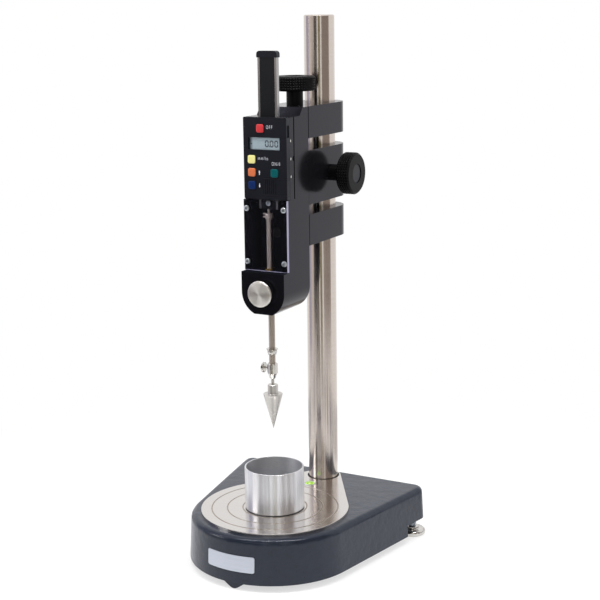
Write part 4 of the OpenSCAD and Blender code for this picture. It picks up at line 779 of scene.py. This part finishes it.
def lathe(name, outline, centre, steps=96, tilt=None):
    """Spins an outline of (radius, height) in mm round an axis through centre, which is in mm."""
    deselect_all()
    bpy.ops.mesh.primitive_plane_add(size=MM)
    piece = bpy.context.object
    piece.name = name
    piece.data.name = name
    bpy.ops.object.mode_set(mode="EDIT")
    bpy.ops.mesh.merge(type="CENTER")
    before = Vector((0, 0, 0))
    for i, (radius, height) in enumerate(outline):
        point = Vector((radius, 0, height)) * MM
        if i == 0:
            bpy.ops.transform.translate(value=point)
        else:
            bpy.ops.mesh.extrude_vertices_move(TRANSFORM_OT_translate={"value": point - before})
        before = point
    bpy.ops.mesh.select_all(action="SELECT")
    bpy.ops.mesh.spin(steps=steps, angle=2 * math.pi, center=(0, 0, 0), axis=(0, 0, 1))
    bpy.ops.mesh.select_all(action="SELECT")
    bpy.ops.mesh.remove_doubles(threshold=0.001 * MM)
    bpy.ops.mesh.normals_make_consistent(inside=False)
    bpy.ops.object.mode_set(mode="OBJECT")
    place = Matrix.Translation(Vector(centre) * MM)
    piece.matrix_world = place @ tilt.to_4x4() if tilt else place
    settle(piece)
    smooth(piece)
    return piece


def arc(radius, height, r, start, end, count):
    """Points on a quarter or half round in an outline, from one angle to another in degrees."""
    angles = [math.radians(start + (end - start) * i / count) for i in range(count + 1)]
    return [(radius + r * math.cos(a), height + r * math.sin(a)) for a in angles]


print("lathe ready")

# %% The column, with a centre hole drilled in its top end
low, high = box_mm("column")
span, column_r, chamfer, centre_hole = high.z - low.z, 15, 1, 4.5
column = lathe("column_bar", [
    (0, 0), (column_r - chamfer, 0), (column_r, chamfer), (column_r, span - chamfer),
    (column_r - chamfer, span), (centre_hole, span), (2.6, span - 2), (0, span - 3),
], (0, middle("column").y, low.z), steps=128)
put_on(column, "stand", "column_steel", column_steel, "column")
print("column turned")

# %% [markdown]
# ## The cup
# The sample cup is cut from drawn tube. It stands on its bottom, and the wall's foot is undercut by
# less than a millimetre, which gives the thin dark line over the plate. Its rim is rounded. Cuts on a
# tube primitive could make that, but it all fits in one outline. The bore and the undercut take the
# duller finish, whose darker colour is painted shade inside the cup and in the gap under the wall.

# %% The cup
low, high = box_mm("cup")
radius, tall, wall, bottom = (high.x - low.x) / 2, high.z - low.z, 1.5, 2.0
rim, fillet, undercut = 0.5, 2, 1.1
cup = lathe("sample_cup", [
    (0, 0), (radius - 2.4, 0), (radius - 2.0, 0.7), (radius - 0.4, 0.8), (radius, 1.2),
    (radius, tall - rim), *arc(radius - rim, tall - rim, rim, 0, 90, 3),
    *arc(radius - wall + rim, tall - rim, rim, 90, 180, 3), (radius - wall, bottom + fillet),
    *arc(radius - wall - fillet, bottom + fillet, fillet, 0, -90, 5), (0, bottom),
], (0, middle("cup").y, low.z), steps=128)
put_on(cup, "cup", "spun_aluminium", cup_metal, "cup")
cup_y, cup_z = middle("cup").y, low.z


def bore_or_foot(x, y, z):
    in_wall = math.hypot(x, y - cup_y) < radius - wall + 0.2
    return in_wall and z > cup_z + bottom - 0.1 or z < cup_z + undercut


# Bore and undercut take the darker finish, whose darkness is painted shade.
second_finish("sample_cup", cup_bore, bore_or_foot)

# %% [markdown]
# ## Plunger and cone
# The cone is turned with its hub and shank from one bar. The plunger is a ground rod with two fine
# marks cut round it, a chuck for the cone at its lower end and a stop ring above. They are separate
# pieces that slide on the rod, so each has its own outline, with the bore in it.

# %% The cone
low, high = box_mm("cone")
rim, long, cone_long, hub, hub_top, shank = (high.x - low.x) / 2, high.z - low.z, 35, 5, 44.2, 1.5
cone = lathe("test_cone", [
    (0, 0), (0.1, 0), (rim - 0.1, cone_long - 0.4), (rim, cone_long - 0.2), (rim - 0.3, cone_long),
    (hub + 0.4, cone_long), (hub, cone_long + 0.4), (hub, hub_top - 0.4), (hub - 0.4, hub_top),
    (shank, hub_top), (shank, long - 0.5), (shank - 0.5, long), (0, long),
], (0, middle("cone").y, low.z))
put_on(cone, "cone", "polished_steel", cone_steel, "cone")
print("cone turned")

# %% The plunger's rod
low, high = box_mm("plunger_rod")
span, pin, pin_long, rod, mark_deep = high.z - low.z, 1.5, 4.1, 3.0, 0.25
above_stop = box_mm("stop_collar")[1].z + 6 - low.z
below_lug = box_mm("plunger_lug")[0].z - 9.5 - low.z
outline = [(0, 0), (rod, 0)]
for mark in (above_stop, below_lug):
    outline += [(rod, mark), (rod - mark_deep, mark + 0.2), (rod - mark_deep, mark + 0.5), (rod, mark + 0.7)]
outline += [(rod, span - pin_long), (pin, span - pin_long), (pin, span - 0.4), (pin - 0.4, span), (0, span)]
shaft = lathe("plunger_shaft", outline, (0, middle("plunger_rod").y, low.z), steps=64)
put_on(shaft, "plunger", "ground_steel", plunger_steel, "plunger_rod")
print("rod turned")

# %% The chuck and the stop ring
low, high = box_mm("cone_chuck")
span, bore, tip, body_r, rod_bore, rod_deep = high.z - low.z, 1.56, 2.85, 5.0, 3.06, 3.3
chuck = lathe("cone_holder", [
    (bore, 0), (tip - 0.3, 0), (tip, 0.4), (4.0, 4.3), (body_r - 0.2, 5.1), (body_r, 5.4),
    (body_r, span - 1.3), (body_r - 0.2, span - 1.0), (4.1, span), (rod_bore, span),
    (rod_bore, span - rod_deep), (bore, span - rod_deep), (bore, 0),
], (0, middle("cone_chuck").y, low.z), steps=64)
put_on(chuck, "plunger", "polished_steel", nickel, "cone_chuck")

low, high = box_mm("stop_collar")
span = high.z - low.z
collar = lathe("stop_ring", [
    (rod_bore, 0), (4.0, 0), *arc(1.9, 2.85, 2.85, -48, 0, 5), (4.75, 4.3), (5.0, 4.6), (5.65, 5.3),
    (5.6, span), (rod_bore, span), (rod_bore, 0),
], (0, middle("stop_collar").y, low.z), steps=64)
put_on(collar, "plunger", "polished_steel", nickel, "stop_collar")
print("chuck and stop ring turned")

# %% [markdown]
# ## Button and feet
# The release button is a plug with a low dome, turned on its side to face the front. The feet are
# thick discs with a fully rounded rim and a short hub for the stud. Both are lathe work again, and
# one outline serves both feet.

# %% The button's cap
low, high = box_mm("release_cap")
deep, cap_r, dome, crown_share = high.y - low.y, (high.x - low.x) / 2, 1.6, 0.985
crown = [(cap_r * math.cos(math.radians(a)) * crown_share, deep - dome * (1 - math.sin(math.radians(a))))
         for a in range(8, 91, 8)]
cap = lathe("release_dome", [
    (0, 0), (cap_r - 0.6, 0), (cap_r, 0.5), (cap_r, deep - dome - 0.3), *crown, (0, deep),
], (0, high.y, middle("release_cap").z), tilt=TO_FRONT)
put_on(cap, "release_button", "polished_steel", button_metal, "release_cap")
print("button turned")

# %% The feet
PAD, HUB, HUB_R, STUD_BORE, STUD_DEEP = 6.5, 2.5, 6.5, 4.06, 4.9
for side in ("left", "right"):
    node = side + "_foot_disc"
    low, high = box_mm(node)
    flat_r, top = (high.x - low.x) / 2 - PAD / 2, PAD + HUB
    foot = lathe(side + "_foot_pad", [
        (0, 0), (flat_r, 0), *arc(flat_r, PAD / 2, PAD / 2, -80, 80, 10), (flat_r, PAD),
        (HUB_R + 0.4, PAD), (HUB_R, PAD + 0.4), (HUB_R, top - 0.5), (HUB_R - 0.5, top),
        (STUD_BORE, top), (STUD_BORE, top - STUD_DEEP), (0, top - STUD_DEEP),
    ], (middle(node).x, middle(node).y, low.z), steps=72)
    put_on(foot, node, "polished_steel", nickel, node)
print("feet turned")

# %% [markdown]
# ## Inlay of the lock knob
# The knob's face has a dish, and a plain plastic disc closes it a little below the rim. The dish is in
# the solid already, so the knob stays as it is. The disc could be a scaled cylinder, but the lathe
# also softens its edge. It sits on the same axis and rides on the knob.

# %% A plastic inlay in the dish
low, high = box_mm("lock_knob")
dish_r, dish_deep, left_open, fit = 9.25, 3.0, 0.7, 0.1
thick = dish_deep - left_open
inlay = lathe("lock_knob_inlay", [
    (0, 0), (dish_r - fit, 0), (dish_r - fit, thick - 0.3), (dish_r - 0.4, thick), (0, thick),
], (high.x - dish_deep, middle("lock_knob").y, middle("lock_knob").z), steps=64, tilt=TO_RIGHT)
put_on(inlay, "lock_knob", "knob_black", case_plastic)
print("inlay made")

# %% [markdown]
# ## Thumb screw
# The screw that holds the cone has a flat head with a coarse straight grip. Cutting each notch would
# take many small tools, and the head has only 48 steps, so every second row of its rim is pushed
# out instead.

# %% Turn the thumb screw and raise its grip
GRIP_STEPS, GRIP_HIGH = 48, 0.2
low, high = box_mm("thumb_screw")
long, head_r, head_t, stem = high.x - low.x, (high.z - low.z) / 2, 2.6, 1.5
rim, under = head_r - GRIP_HIGH, long - head_t
axis = middle("thumb_screw") * MM
thumb = lathe("thumb_screw_grip", [
    (0, 0), (stem, 0), (stem, under), (head_r - 0.9, under), (rim, under + 0.5), (rim, long - 0.5),
    (head_r - 0.8, long), (2.6, long), (2.2, long - 0.9), (0, long - 0.9),
], (high.x, axis.y / MM, axis.z / MM), steps=GRIP_STEPS, tilt=TO_LEFT)
for vertex in thumb.data.vertices:
    away = Vector((0, vertex.co.y - axis.y, vertex.co.z - axis.z))
    row = round(math.degrees(math.atan2(away.z, away.y)) / (360 / GRIP_STEPS))
    if away.length > (head_r - 0.5) * MM and row % 2:
        vertex.co += away.normalized() * GRIP_HIGH * MM
put_on(thumb, "thumb_screw", "polished_steel", nickel, "thumb_screw")
print("thumb screw turned")

# %% [markdown]
# ## Keys
# The gauge's keys are small moulded squares with soft corners. One is shaped from a cube: its front
# is pushed out to a low crown, its back is drawn out to the flange that keeps it in the case, and its
# edges are rounded. A subdivided cube would be quicker, but would lose the flat sides. The others are
# copies.

# %% Model one key
key_low, key_high = box_mm("off_key")
FLANGE_SIDE, FLANGE_LIP, FLANGE_DEEP = key_high.x - key_low.x, 0.7, 0.8
KEY_SIDE, KEY_CORNER, KEY_EDGE, KEY_PROUD, CASE_FRONT = FLANGE_SIDE - 2 * FLANGE_LIP, 1.8, 0.7, 1.0, 1.7
KEY_DEEP = KEY_PROUD + CASE_FRONT
CROWN_STEPS = ((0.07, 0.8), (0.03, 0.5))


def face_facing(piece, direction):
    """Opens edit mode with only the flat face selected that looks this way."""
    mesh = piece.data
    for polygon in mesh.polygons:
        polygon.select = polygon.normal.dot(Vector(direction)) > 0.999
    for edge in mesh.edges:
        edge.select = False
    for vertex in mesh.vertices:
        vertex.select = False
    bpy.context.tool_settings.mesh_select_mode = (False, False, True)
    bpy.ops.object.mode_set(mode="EDIT")


def draw_out(x, y, z, scale=(1, 1, 1)):
    """Extrudes what is selected by x, y and z in mm, and then scales its end."""
    step = Vector((x, y, z)) * MM
    bpy.ops.mesh.extrude_region_move(TRANSFORM_OT_translate={"value": step})
    bpy.ops.transform.resize(value=scale)


deselect_all()
bpy.ops.mesh.primitive_cube_add(size=1)
first_key = bpy.context.object
first_key.name = "key_pattern"
first_key.scale = Vector((KEY_SIDE, KEY_DEEP, KEY_SIDE)) * MM
settle(first_key)
mesh = first_key.data
for edge in mesh.edges:
    ends = [mesh.vertices[i].co for i in edge.vertices]
    edge.select = abs(ends[0].y - ends[1].y) > MM
for polygon in mesh.polygons:
    polygon.select = False
bpy.context.tool_settings.mesh_select_mode = (False, True, False)
bpy.ops.object.mode_set(mode="EDIT")
bpy.ops.mesh.bevel(offset=KEY_CORNER * MM, segments=6, affect="EDGES")
bpy.ops.object.mode_set(mode="OBJECT")
print("corners rounded, faces:", len(mesh.polygons))

# %% Crown its front and draw out its flange
face_facing(first_key, (0, -1, 0))
bpy.ops.mesh.bevel(offset=KEY_EDGE * MM, segments=4, affect="EDGES")
bpy.ops.object.mode_set(mode="OBJECT")
face_facing(first_key, (0, -1, 0))
for rise, share in CROWN_STEPS:
    draw_out(0, -rise, 0, (share, 1, share))
bpy.ops.object.mode_set(mode="OBJECT")
face_facing(first_key, (0, 1, 0))
draw_out(0, 0, 0, (FLANGE_SIDE / KEY_SIDE, 1, FLANGE_SIDE / KEY_SIDE))
draw_out(0, FLANGE_DEEP, 0)
bpy.ops.object.mode_set(mode="OBJECT")
smooth(first_key, 40)
print("key shaped, faces:", len(first_key.data.polygons))

# %% Copy the key to its five places
KEYS = {"off_key": ("key_red", key_red), "unit_key": ("key_yellow", key_yellow),
        "up_key": ("key_orange", key_orange), "down_key": ("key_blue", key_blue),
        "zero_key": ("key_teal", key_teal)}
for node, (slot, finish) in KEYS.items():
    only(first_key)
    bpy.ops.object.duplicate(linked=False)
    key = bpy.context.object
    key.name = node + "_cap"
    key.data.name = key.name
    key.location = Vector((middle(node).x, box_mm(node)[0].y + KEY_DEEP / 2, middle(node).z)) * MM
    settle(key)
    put_on(key, node, slot, finish, node)
only(first_key)
bpy.ops.object.delete()
print("keys made:", len(KEYS))

# %% [markdown]
# ## Lettering
# The words by the keys are generic: OFF, mm/in and ON/0, with an arrow up and one down. They are
# printed in white. A texture would blur at this size, so the words are text objects that are made
# meshes, thin, narrow and widely spaced, and the arrows are bars whose end is drawn out to a point.

# %% Words on the gauge
case_front_y = box_mm("gauge_case")[0].y
PRINT, LETTER_THIN, LETTER_SPACE = 0.03, 0.04, 1.4


def lettering(name, words, size, x, z, narrow):
    """Printed words of a size in mm, their middle at x and z, drawn in to a share of their width."""
    deselect_all()
    bpy.ops.object.text_add()
    text = bpy.context.object
    text.name = name
    text.data.body = words
    text.data.size = size * MM
    text.data.align_x, text.data.align_y = "CENTER", "CENTER"
    text.data.extrude = PRINT * MM / 2
    text.data.offset = -LETTER_THIN * MM
    text.data.space_character = LETTER_SPACE
    bpy.ops.object.convert(target="MESH")
    piece = bpy.context.object
    piece.scale.x = narrow
    piece.rotation_euler = (math.radians(90), 0, 0)
    piece.location = Vector((x, case_front_y - PRINT, z)) * MM
    settle(piece)
    put_on(piece, "head", "label_white", print_white)


off, unit, zero = middle("off_key"), middle("unit_key"), middle("zero_key")
lettering("word_off", "OFF", 4.7, off.x + 9.8, off.z + 1.1, 0.68)
lettering("word_units", "mm/in", 4.8, unit.x + 12.2, unit.z + 1.2, 0.68)
lettering("word_on", "ON/0", 4.6, zero.x + 1.6, zero.z + 8.6, 0.66)
print("words made")

# %% Arrows on the gauge
ARROW_X, STEM_WIDE, STEM_LONG, STEM_DOWN, TIP_LONG = 8.1, 0.7, 2.2, 1.0, 2.0
TIP_GROW, TIP_SHRINK = 2.6, 0.05


def arrow(name, key, way):
    deselect_all()
    bpy.ops.mesh.primitive_cube_add(size=1)
    piece = bpy.context.object
    piece.name = name
    piece.scale = Vector((STEM_WIDE, PRINT, STEM_LONG)) * MM
    stem_z = middle(key).z - way * STEM_DOWN
    piece.location = Vector((middle(key).x + ARROW_X, case_front_y - PRINT, stem_z)) * MM
    settle(piece)
    face_facing(piece, (0, 0, way))
    draw_out(0, 0, 0, (TIP_GROW, 1, 1))
    draw_out(0, 0, way * TIP_LONG, (TIP_SHRINK, 1, 1))
    bpy.ops.object.mode_set(mode="OBJECT")
    put_on(piece, "head", "label_white", print_white)


arrow("arrow_up", "up_key", 1)
arrow("arrow_down", "down_key", -1)
print("arrows made")

# %% [markdown]
# ## Digits
# The display shows 0.00 in seven-part digits, of which a nought uses six. A font would round their
# corners, so each part is a short bar with bevelled ends, set upright or level, and all of them are
# joined to one piece.

# %% Seven-part digits
lcd_low, lcd_high = box_mm("lcd_panel")
DIGIT_X, POINT_X, DASH_X = (1.4, 6.5, 11.5), 4.0, lcd_low.x + 2.4
DIGIT_W, DIGIT_H, BAR, BAR_GAP = 2.9, 5.3, 1.05, 0.5
# Each part of a nought: its side, its row, and whether it stands upright.
PARTS = ((0, 1, False), (1, 0.5, True), (1, -0.5, True), (0, -1, False), (-1, -0.5, True), (-1, 0.5, True))


def bar(length, upright, x, z):
    deselect_all()
    bpy.ops.mesh.primitive_cube_add(size=1)
    piece = bpy.context.object
    piece.scale = Vector((length, PRINT, BAR)) * MM
    settle(piece)
    apply_modifier(piece, "BEVEL", width=BAR * 0.4 * MM, segments=1, limit_method="ANGLE",
                   angle_limit=math.radians(40), use_clamp_overlap=True)
    if upright:
        piece.rotation_euler = (0, math.radians(90), 0)
    piece.location = Vector((x, lcd_low.y - PRINT / 2, z)) * MM
    settle(piece)
    return piece


bars = []
digit_z = (lcd_low.z + lcd_high.z) / 2
for x in DIGIT_X:
    for side, row, upright in PARTS:
        length = (DIGIT_H / 2 if upright else DIGIT_W) - BAR_GAP
        bars.append(bar(length, upright, x + side * DIGIT_W / 2, digit_z + row * DIGIT_H / 2))
bars.append(bar(0.7, False, POINT_X, digit_z - DIGIT_H / 2))
bars.append(bar(1.8, False, DASH_X, digit_z - 0.4))
deselect_all()
for piece in bars:
    piece.select_set(True)
bpy.context.view_layer.objects.active = bars[0]
bpy.ops.object.join()
digits = bpy.context.object
digits.name = "display_digits"
settle(digits)
put_on(digits, "head", "black_plastic", segment_ink)
print("display bars:", len(bars))

# %% [markdown]
# ## Screws
# Pan head screws with a cross recess hold the window, and one ties the beam to the plunger. One is
# turned as a low dome on a shank. Its recess could be a dark mark, but a cut one catches the light,
# so two tapered bars are cut out of its head. Then it is copied.

# %% Model one pan screw
def cross_bar(length, width, depth, angle):
    deselect_all()
    bpy.ops.mesh.primitive_cube_add(size=1)
    blade = bpy.context.object
    blade.scale = Vector((length, width, 2 * depth)) * MM
    settle(blade)
    face_facing(blade, (0, 0, -1))
    bpy.ops.transform.resize(value=(0.55, 0.7, 1))
    bpy.ops.object.mode_set(mode="OBJECT")
    blade.rotation_euler = (0, 0, math.radians(angle))
    return blade


def pan_screw(name, head_d, head_h, shank_d, reach):
    r, shank, rim = head_d / 2, shank_d / 2, 0.35
    dome = [(r * math.cos(math.radians(t)), head_h * (rim + (1 - rim) * math.sin(math.radians(t))))
            for t in range(10, 90, 10)]
    screw = lathe(name, [
        (0, -reach), (shank, -reach), (shank, 0), (r, 0), (r, head_h * rim), *dome, (0, head_h),
    ], (0, 0, 0), steps=48)
    for angle in (20, 110):
        blade = cross_bar(head_d * 0.58, head_d * 0.15, head_h * 0.62, angle)
        blade.location = (0, 0, head_h * MM)
        settle(blade)
        apply_modifier(screw, "BOOLEAN", operation="DIFFERENCE", object=blade)
        only(blade)
        bpy.ops.object.delete()
    return screw


low, high = box_mm("window_screws")
HEAD_D, HEAD_H, SHANK_D = 5.6, 1.9, 3.0
seat_y = low.y + HEAD_H
pattern = pan_screw("pan_pattern", HEAD_D, HEAD_H, SHANK_D, high.y - seat_y)
print("screw faces:", len(pattern.data.polygons))

# %% Copy the screw to the window's corners and the beam
def copy_screw(name, x, y, z, body, node):
    only(pattern)
    bpy.ops.object.duplicate(linked=False)
    piece = bpy.context.object
    piece.name = name
    piece.data.name = name
    piece.matrix_world = Matrix.Translation(Vector((x, y, z)) * MM) @ TO_FRONT.to_4x4()
    settle(piece)
    smooth(piece)
    put_on(piece, body, "zinc_steel", zinc, node)


corners = [(x, z) for x in (low.x + HEAD_D / 2, high.x - HEAD_D / 2)
           for z in (low.z + HEAD_D / 2, high.z - HEAD_D / 2)]
for i, (x, z) in enumerate(corners):
    copy_screw("window_screw_%d" % i, x, seat_y, z, "head", "window_screws")
at = middle("beam_screw")
copy_screw("beam_fixing_screw", at.x, box_mm("beam_screw")[0].y + HEAD_H, at.z, "beam", "beam_screw")
only(pattern)
bpy.ops.object.delete()
print("pan screws:", len(corners) + 1)

# %% [markdown]
# ## Threads
# The fine screw and the feet's studs are threaded rod. Rings stacked up would be simpler, but they
# look wrong at the ends and don't rise. So a zigzag is wound up its axis by the Screw modifier, and a
# plain core closes it.

# %% Wind the threads
FINE_PITCH, FOOT_PITCH = 1.5, 1.25
THREAD_DEEP, FLANK, CREST = 0.54, 0.44, 0.12  # shares of the pitch


def threaded_rod(name, node, pitch, body):
    low, high = box_mm(node)
    long, radius, depth = high.z - low.z, (high.x - low.x) / 2, THREAD_DEEP * pitch
    core_r = radius - depth + 0.05
    core = lathe(name, [(0, 0), (core_r, 0), (core_r, long), (0, long)], (0, 0, 0), steps=32)
    deselect_all()
    bpy.ops.mesh.primitive_plane_add(size=MM)
    ridge = bpy.context.object
    bpy.ops.object.mode_set(mode="EDIT")
    bpy.ops.mesh.merge(type="CENTER")
    bpy.ops.transform.translate(value=Vector((radius - depth, 0, 0)) * MM)
    for step in ((depth, 0, pitch * FLANK), (0, 0, pitch * CREST), (-depth, 0, pitch * FLANK)):
        bpy.ops.mesh.extrude_vertices_move(TRANSFORM_OT_translate={"value": Vector(step) * MM})
    bpy.ops.object.mode_set(mode="OBJECT")
    turns = int(long / pitch) - 1
    apply_modifier(ridge, "SCREW", angle=2 * math.pi, screw_offset=pitch * MM, iterations=turns,
                   steps=32, render_steps=32, use_merge_vertices=True, merge_threshold=0.002 * MM)
    only(core)
    ridge.select_set(True)
    bpy.ops.object.join()
    core.location = Vector(((low.x + high.x) / 2, (low.y + high.y) / 2, low.z)) * MM
    settle(core)
    smooth(core, 40)
    put_on(core, body, "zinc_steel", zinc, node)


for side in ("left", "right"):
    threaded_rod(side + "_foot_stud", side + "_foot_screw", FOOT_PITCH, side + "_foot_screw")
threaded_rod("fine_lead_screw", "fine_screw", FINE_PITCH, "fine_screw")
print("threads wound")

# %% [markdown]
# ## The return spring
# Behind the button a coil spring pushes it out again. A round wire section is wound by the same
# modifier. When the button goes in, the real spring is squeezed against its fixed end.

# %% Wind the return spring
low, high = box_mm("release_spring")
WIRE, TURNS, TURN_STEPS, PRESS = 1.2, 5, 48, 3.0
coil_r, rise = (high.x - low.x) / 2 - WIRE / 2, high.y - low.y - WIRE
deselect_all()
bpy.ops.mesh.primitive_circle_add(vertices=20, radius=WIRE / 2 * MM, fill_type="NGON",
                                  rotation=(math.radians(90), 0, 0), location=(coil_r * MM, 0, 0))
spring = bpy.context.object
spring.name = "return_spring_coil"
settle(spring)
apply_modifier(spring, "SCREW", angle=2 * math.pi * TURNS, screw_offset=rise * MM, iterations=1,
               steps=TURN_STEPS * TURNS, render_steps=TURN_STEPS * TURNS)
only(spring)
bpy.ops.object.mode_set(mode="EDIT")
bpy.ops.mesh.select_all(action="SELECT")
bpy.ops.mesh.remove_doubles(threshold=0.001 * MM)
bpy.ops.mesh.normals_make_consistent(inside=False)
bpy.ops.object.mode_set(mode="OBJECT")
spring.matrix_world = (Matrix.Translation(Vector((0, low.y + WIRE / 2, (low.z + high.z) / 2)) * MM)
                       @ Matrix.Rotation(math.radians(-90), 4, "X"))
settle(spring)
smooth(spring, 50)
put_on(spring, "head", "zinc_steel", zinc, "release_spring")
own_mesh(spring)
print("spring points:", len(spring.data.vertices))

# %% [markdown]
# ## The spirit level
# A round level sits in the plate: a ring of aluminium, yellow-green liquid, a black circle to centre
# in, and a bubble under the glass. Ring and liquid are solids that stay. The circle and the bubble
# are so thin that a mark in a texture would do, but as low turned pieces they stay crisp close up.

# %% Level circle and bubble
low, high = box_mm("level_vial")
centre = (middle("level_vial").x, middle("level_vial").y, high.z)
MARK_IN, MARK_OUT, MARK_HIGH, SUNK, BUBBLE_R, BUBBLE_HIGH = 2.3, 2.75, 0.06, 0.1, 1.7, 0.22
circle = lathe("level_circle", [
    (MARK_IN, -SUNK), (MARK_OUT, -SUNK), (MARK_OUT, MARK_HIGH), (MARK_IN, MARK_HIGH), (MARK_IN, -SUNK),
], centre, steps=48)
put_on(circle, "stand", "black_plastic", level_mark)
crown = [(BUBBLE_R * math.cos(math.radians(t)), BUBBLE_HIGH * math.sin(math.radians(t)))
         for t in range(0, 90, 15)]
bubble = lathe("level_bubble", [(0, -SUNK), (BUBBLE_R, -SUNK), *crown, (0, BUBBLE_HIGH)], centre, steps=32)
put_on(bubble, "stand", "level_green", level_bubble)
print("level marked")

# %% [markdown]
# ## End

# %% End
print("scene made")
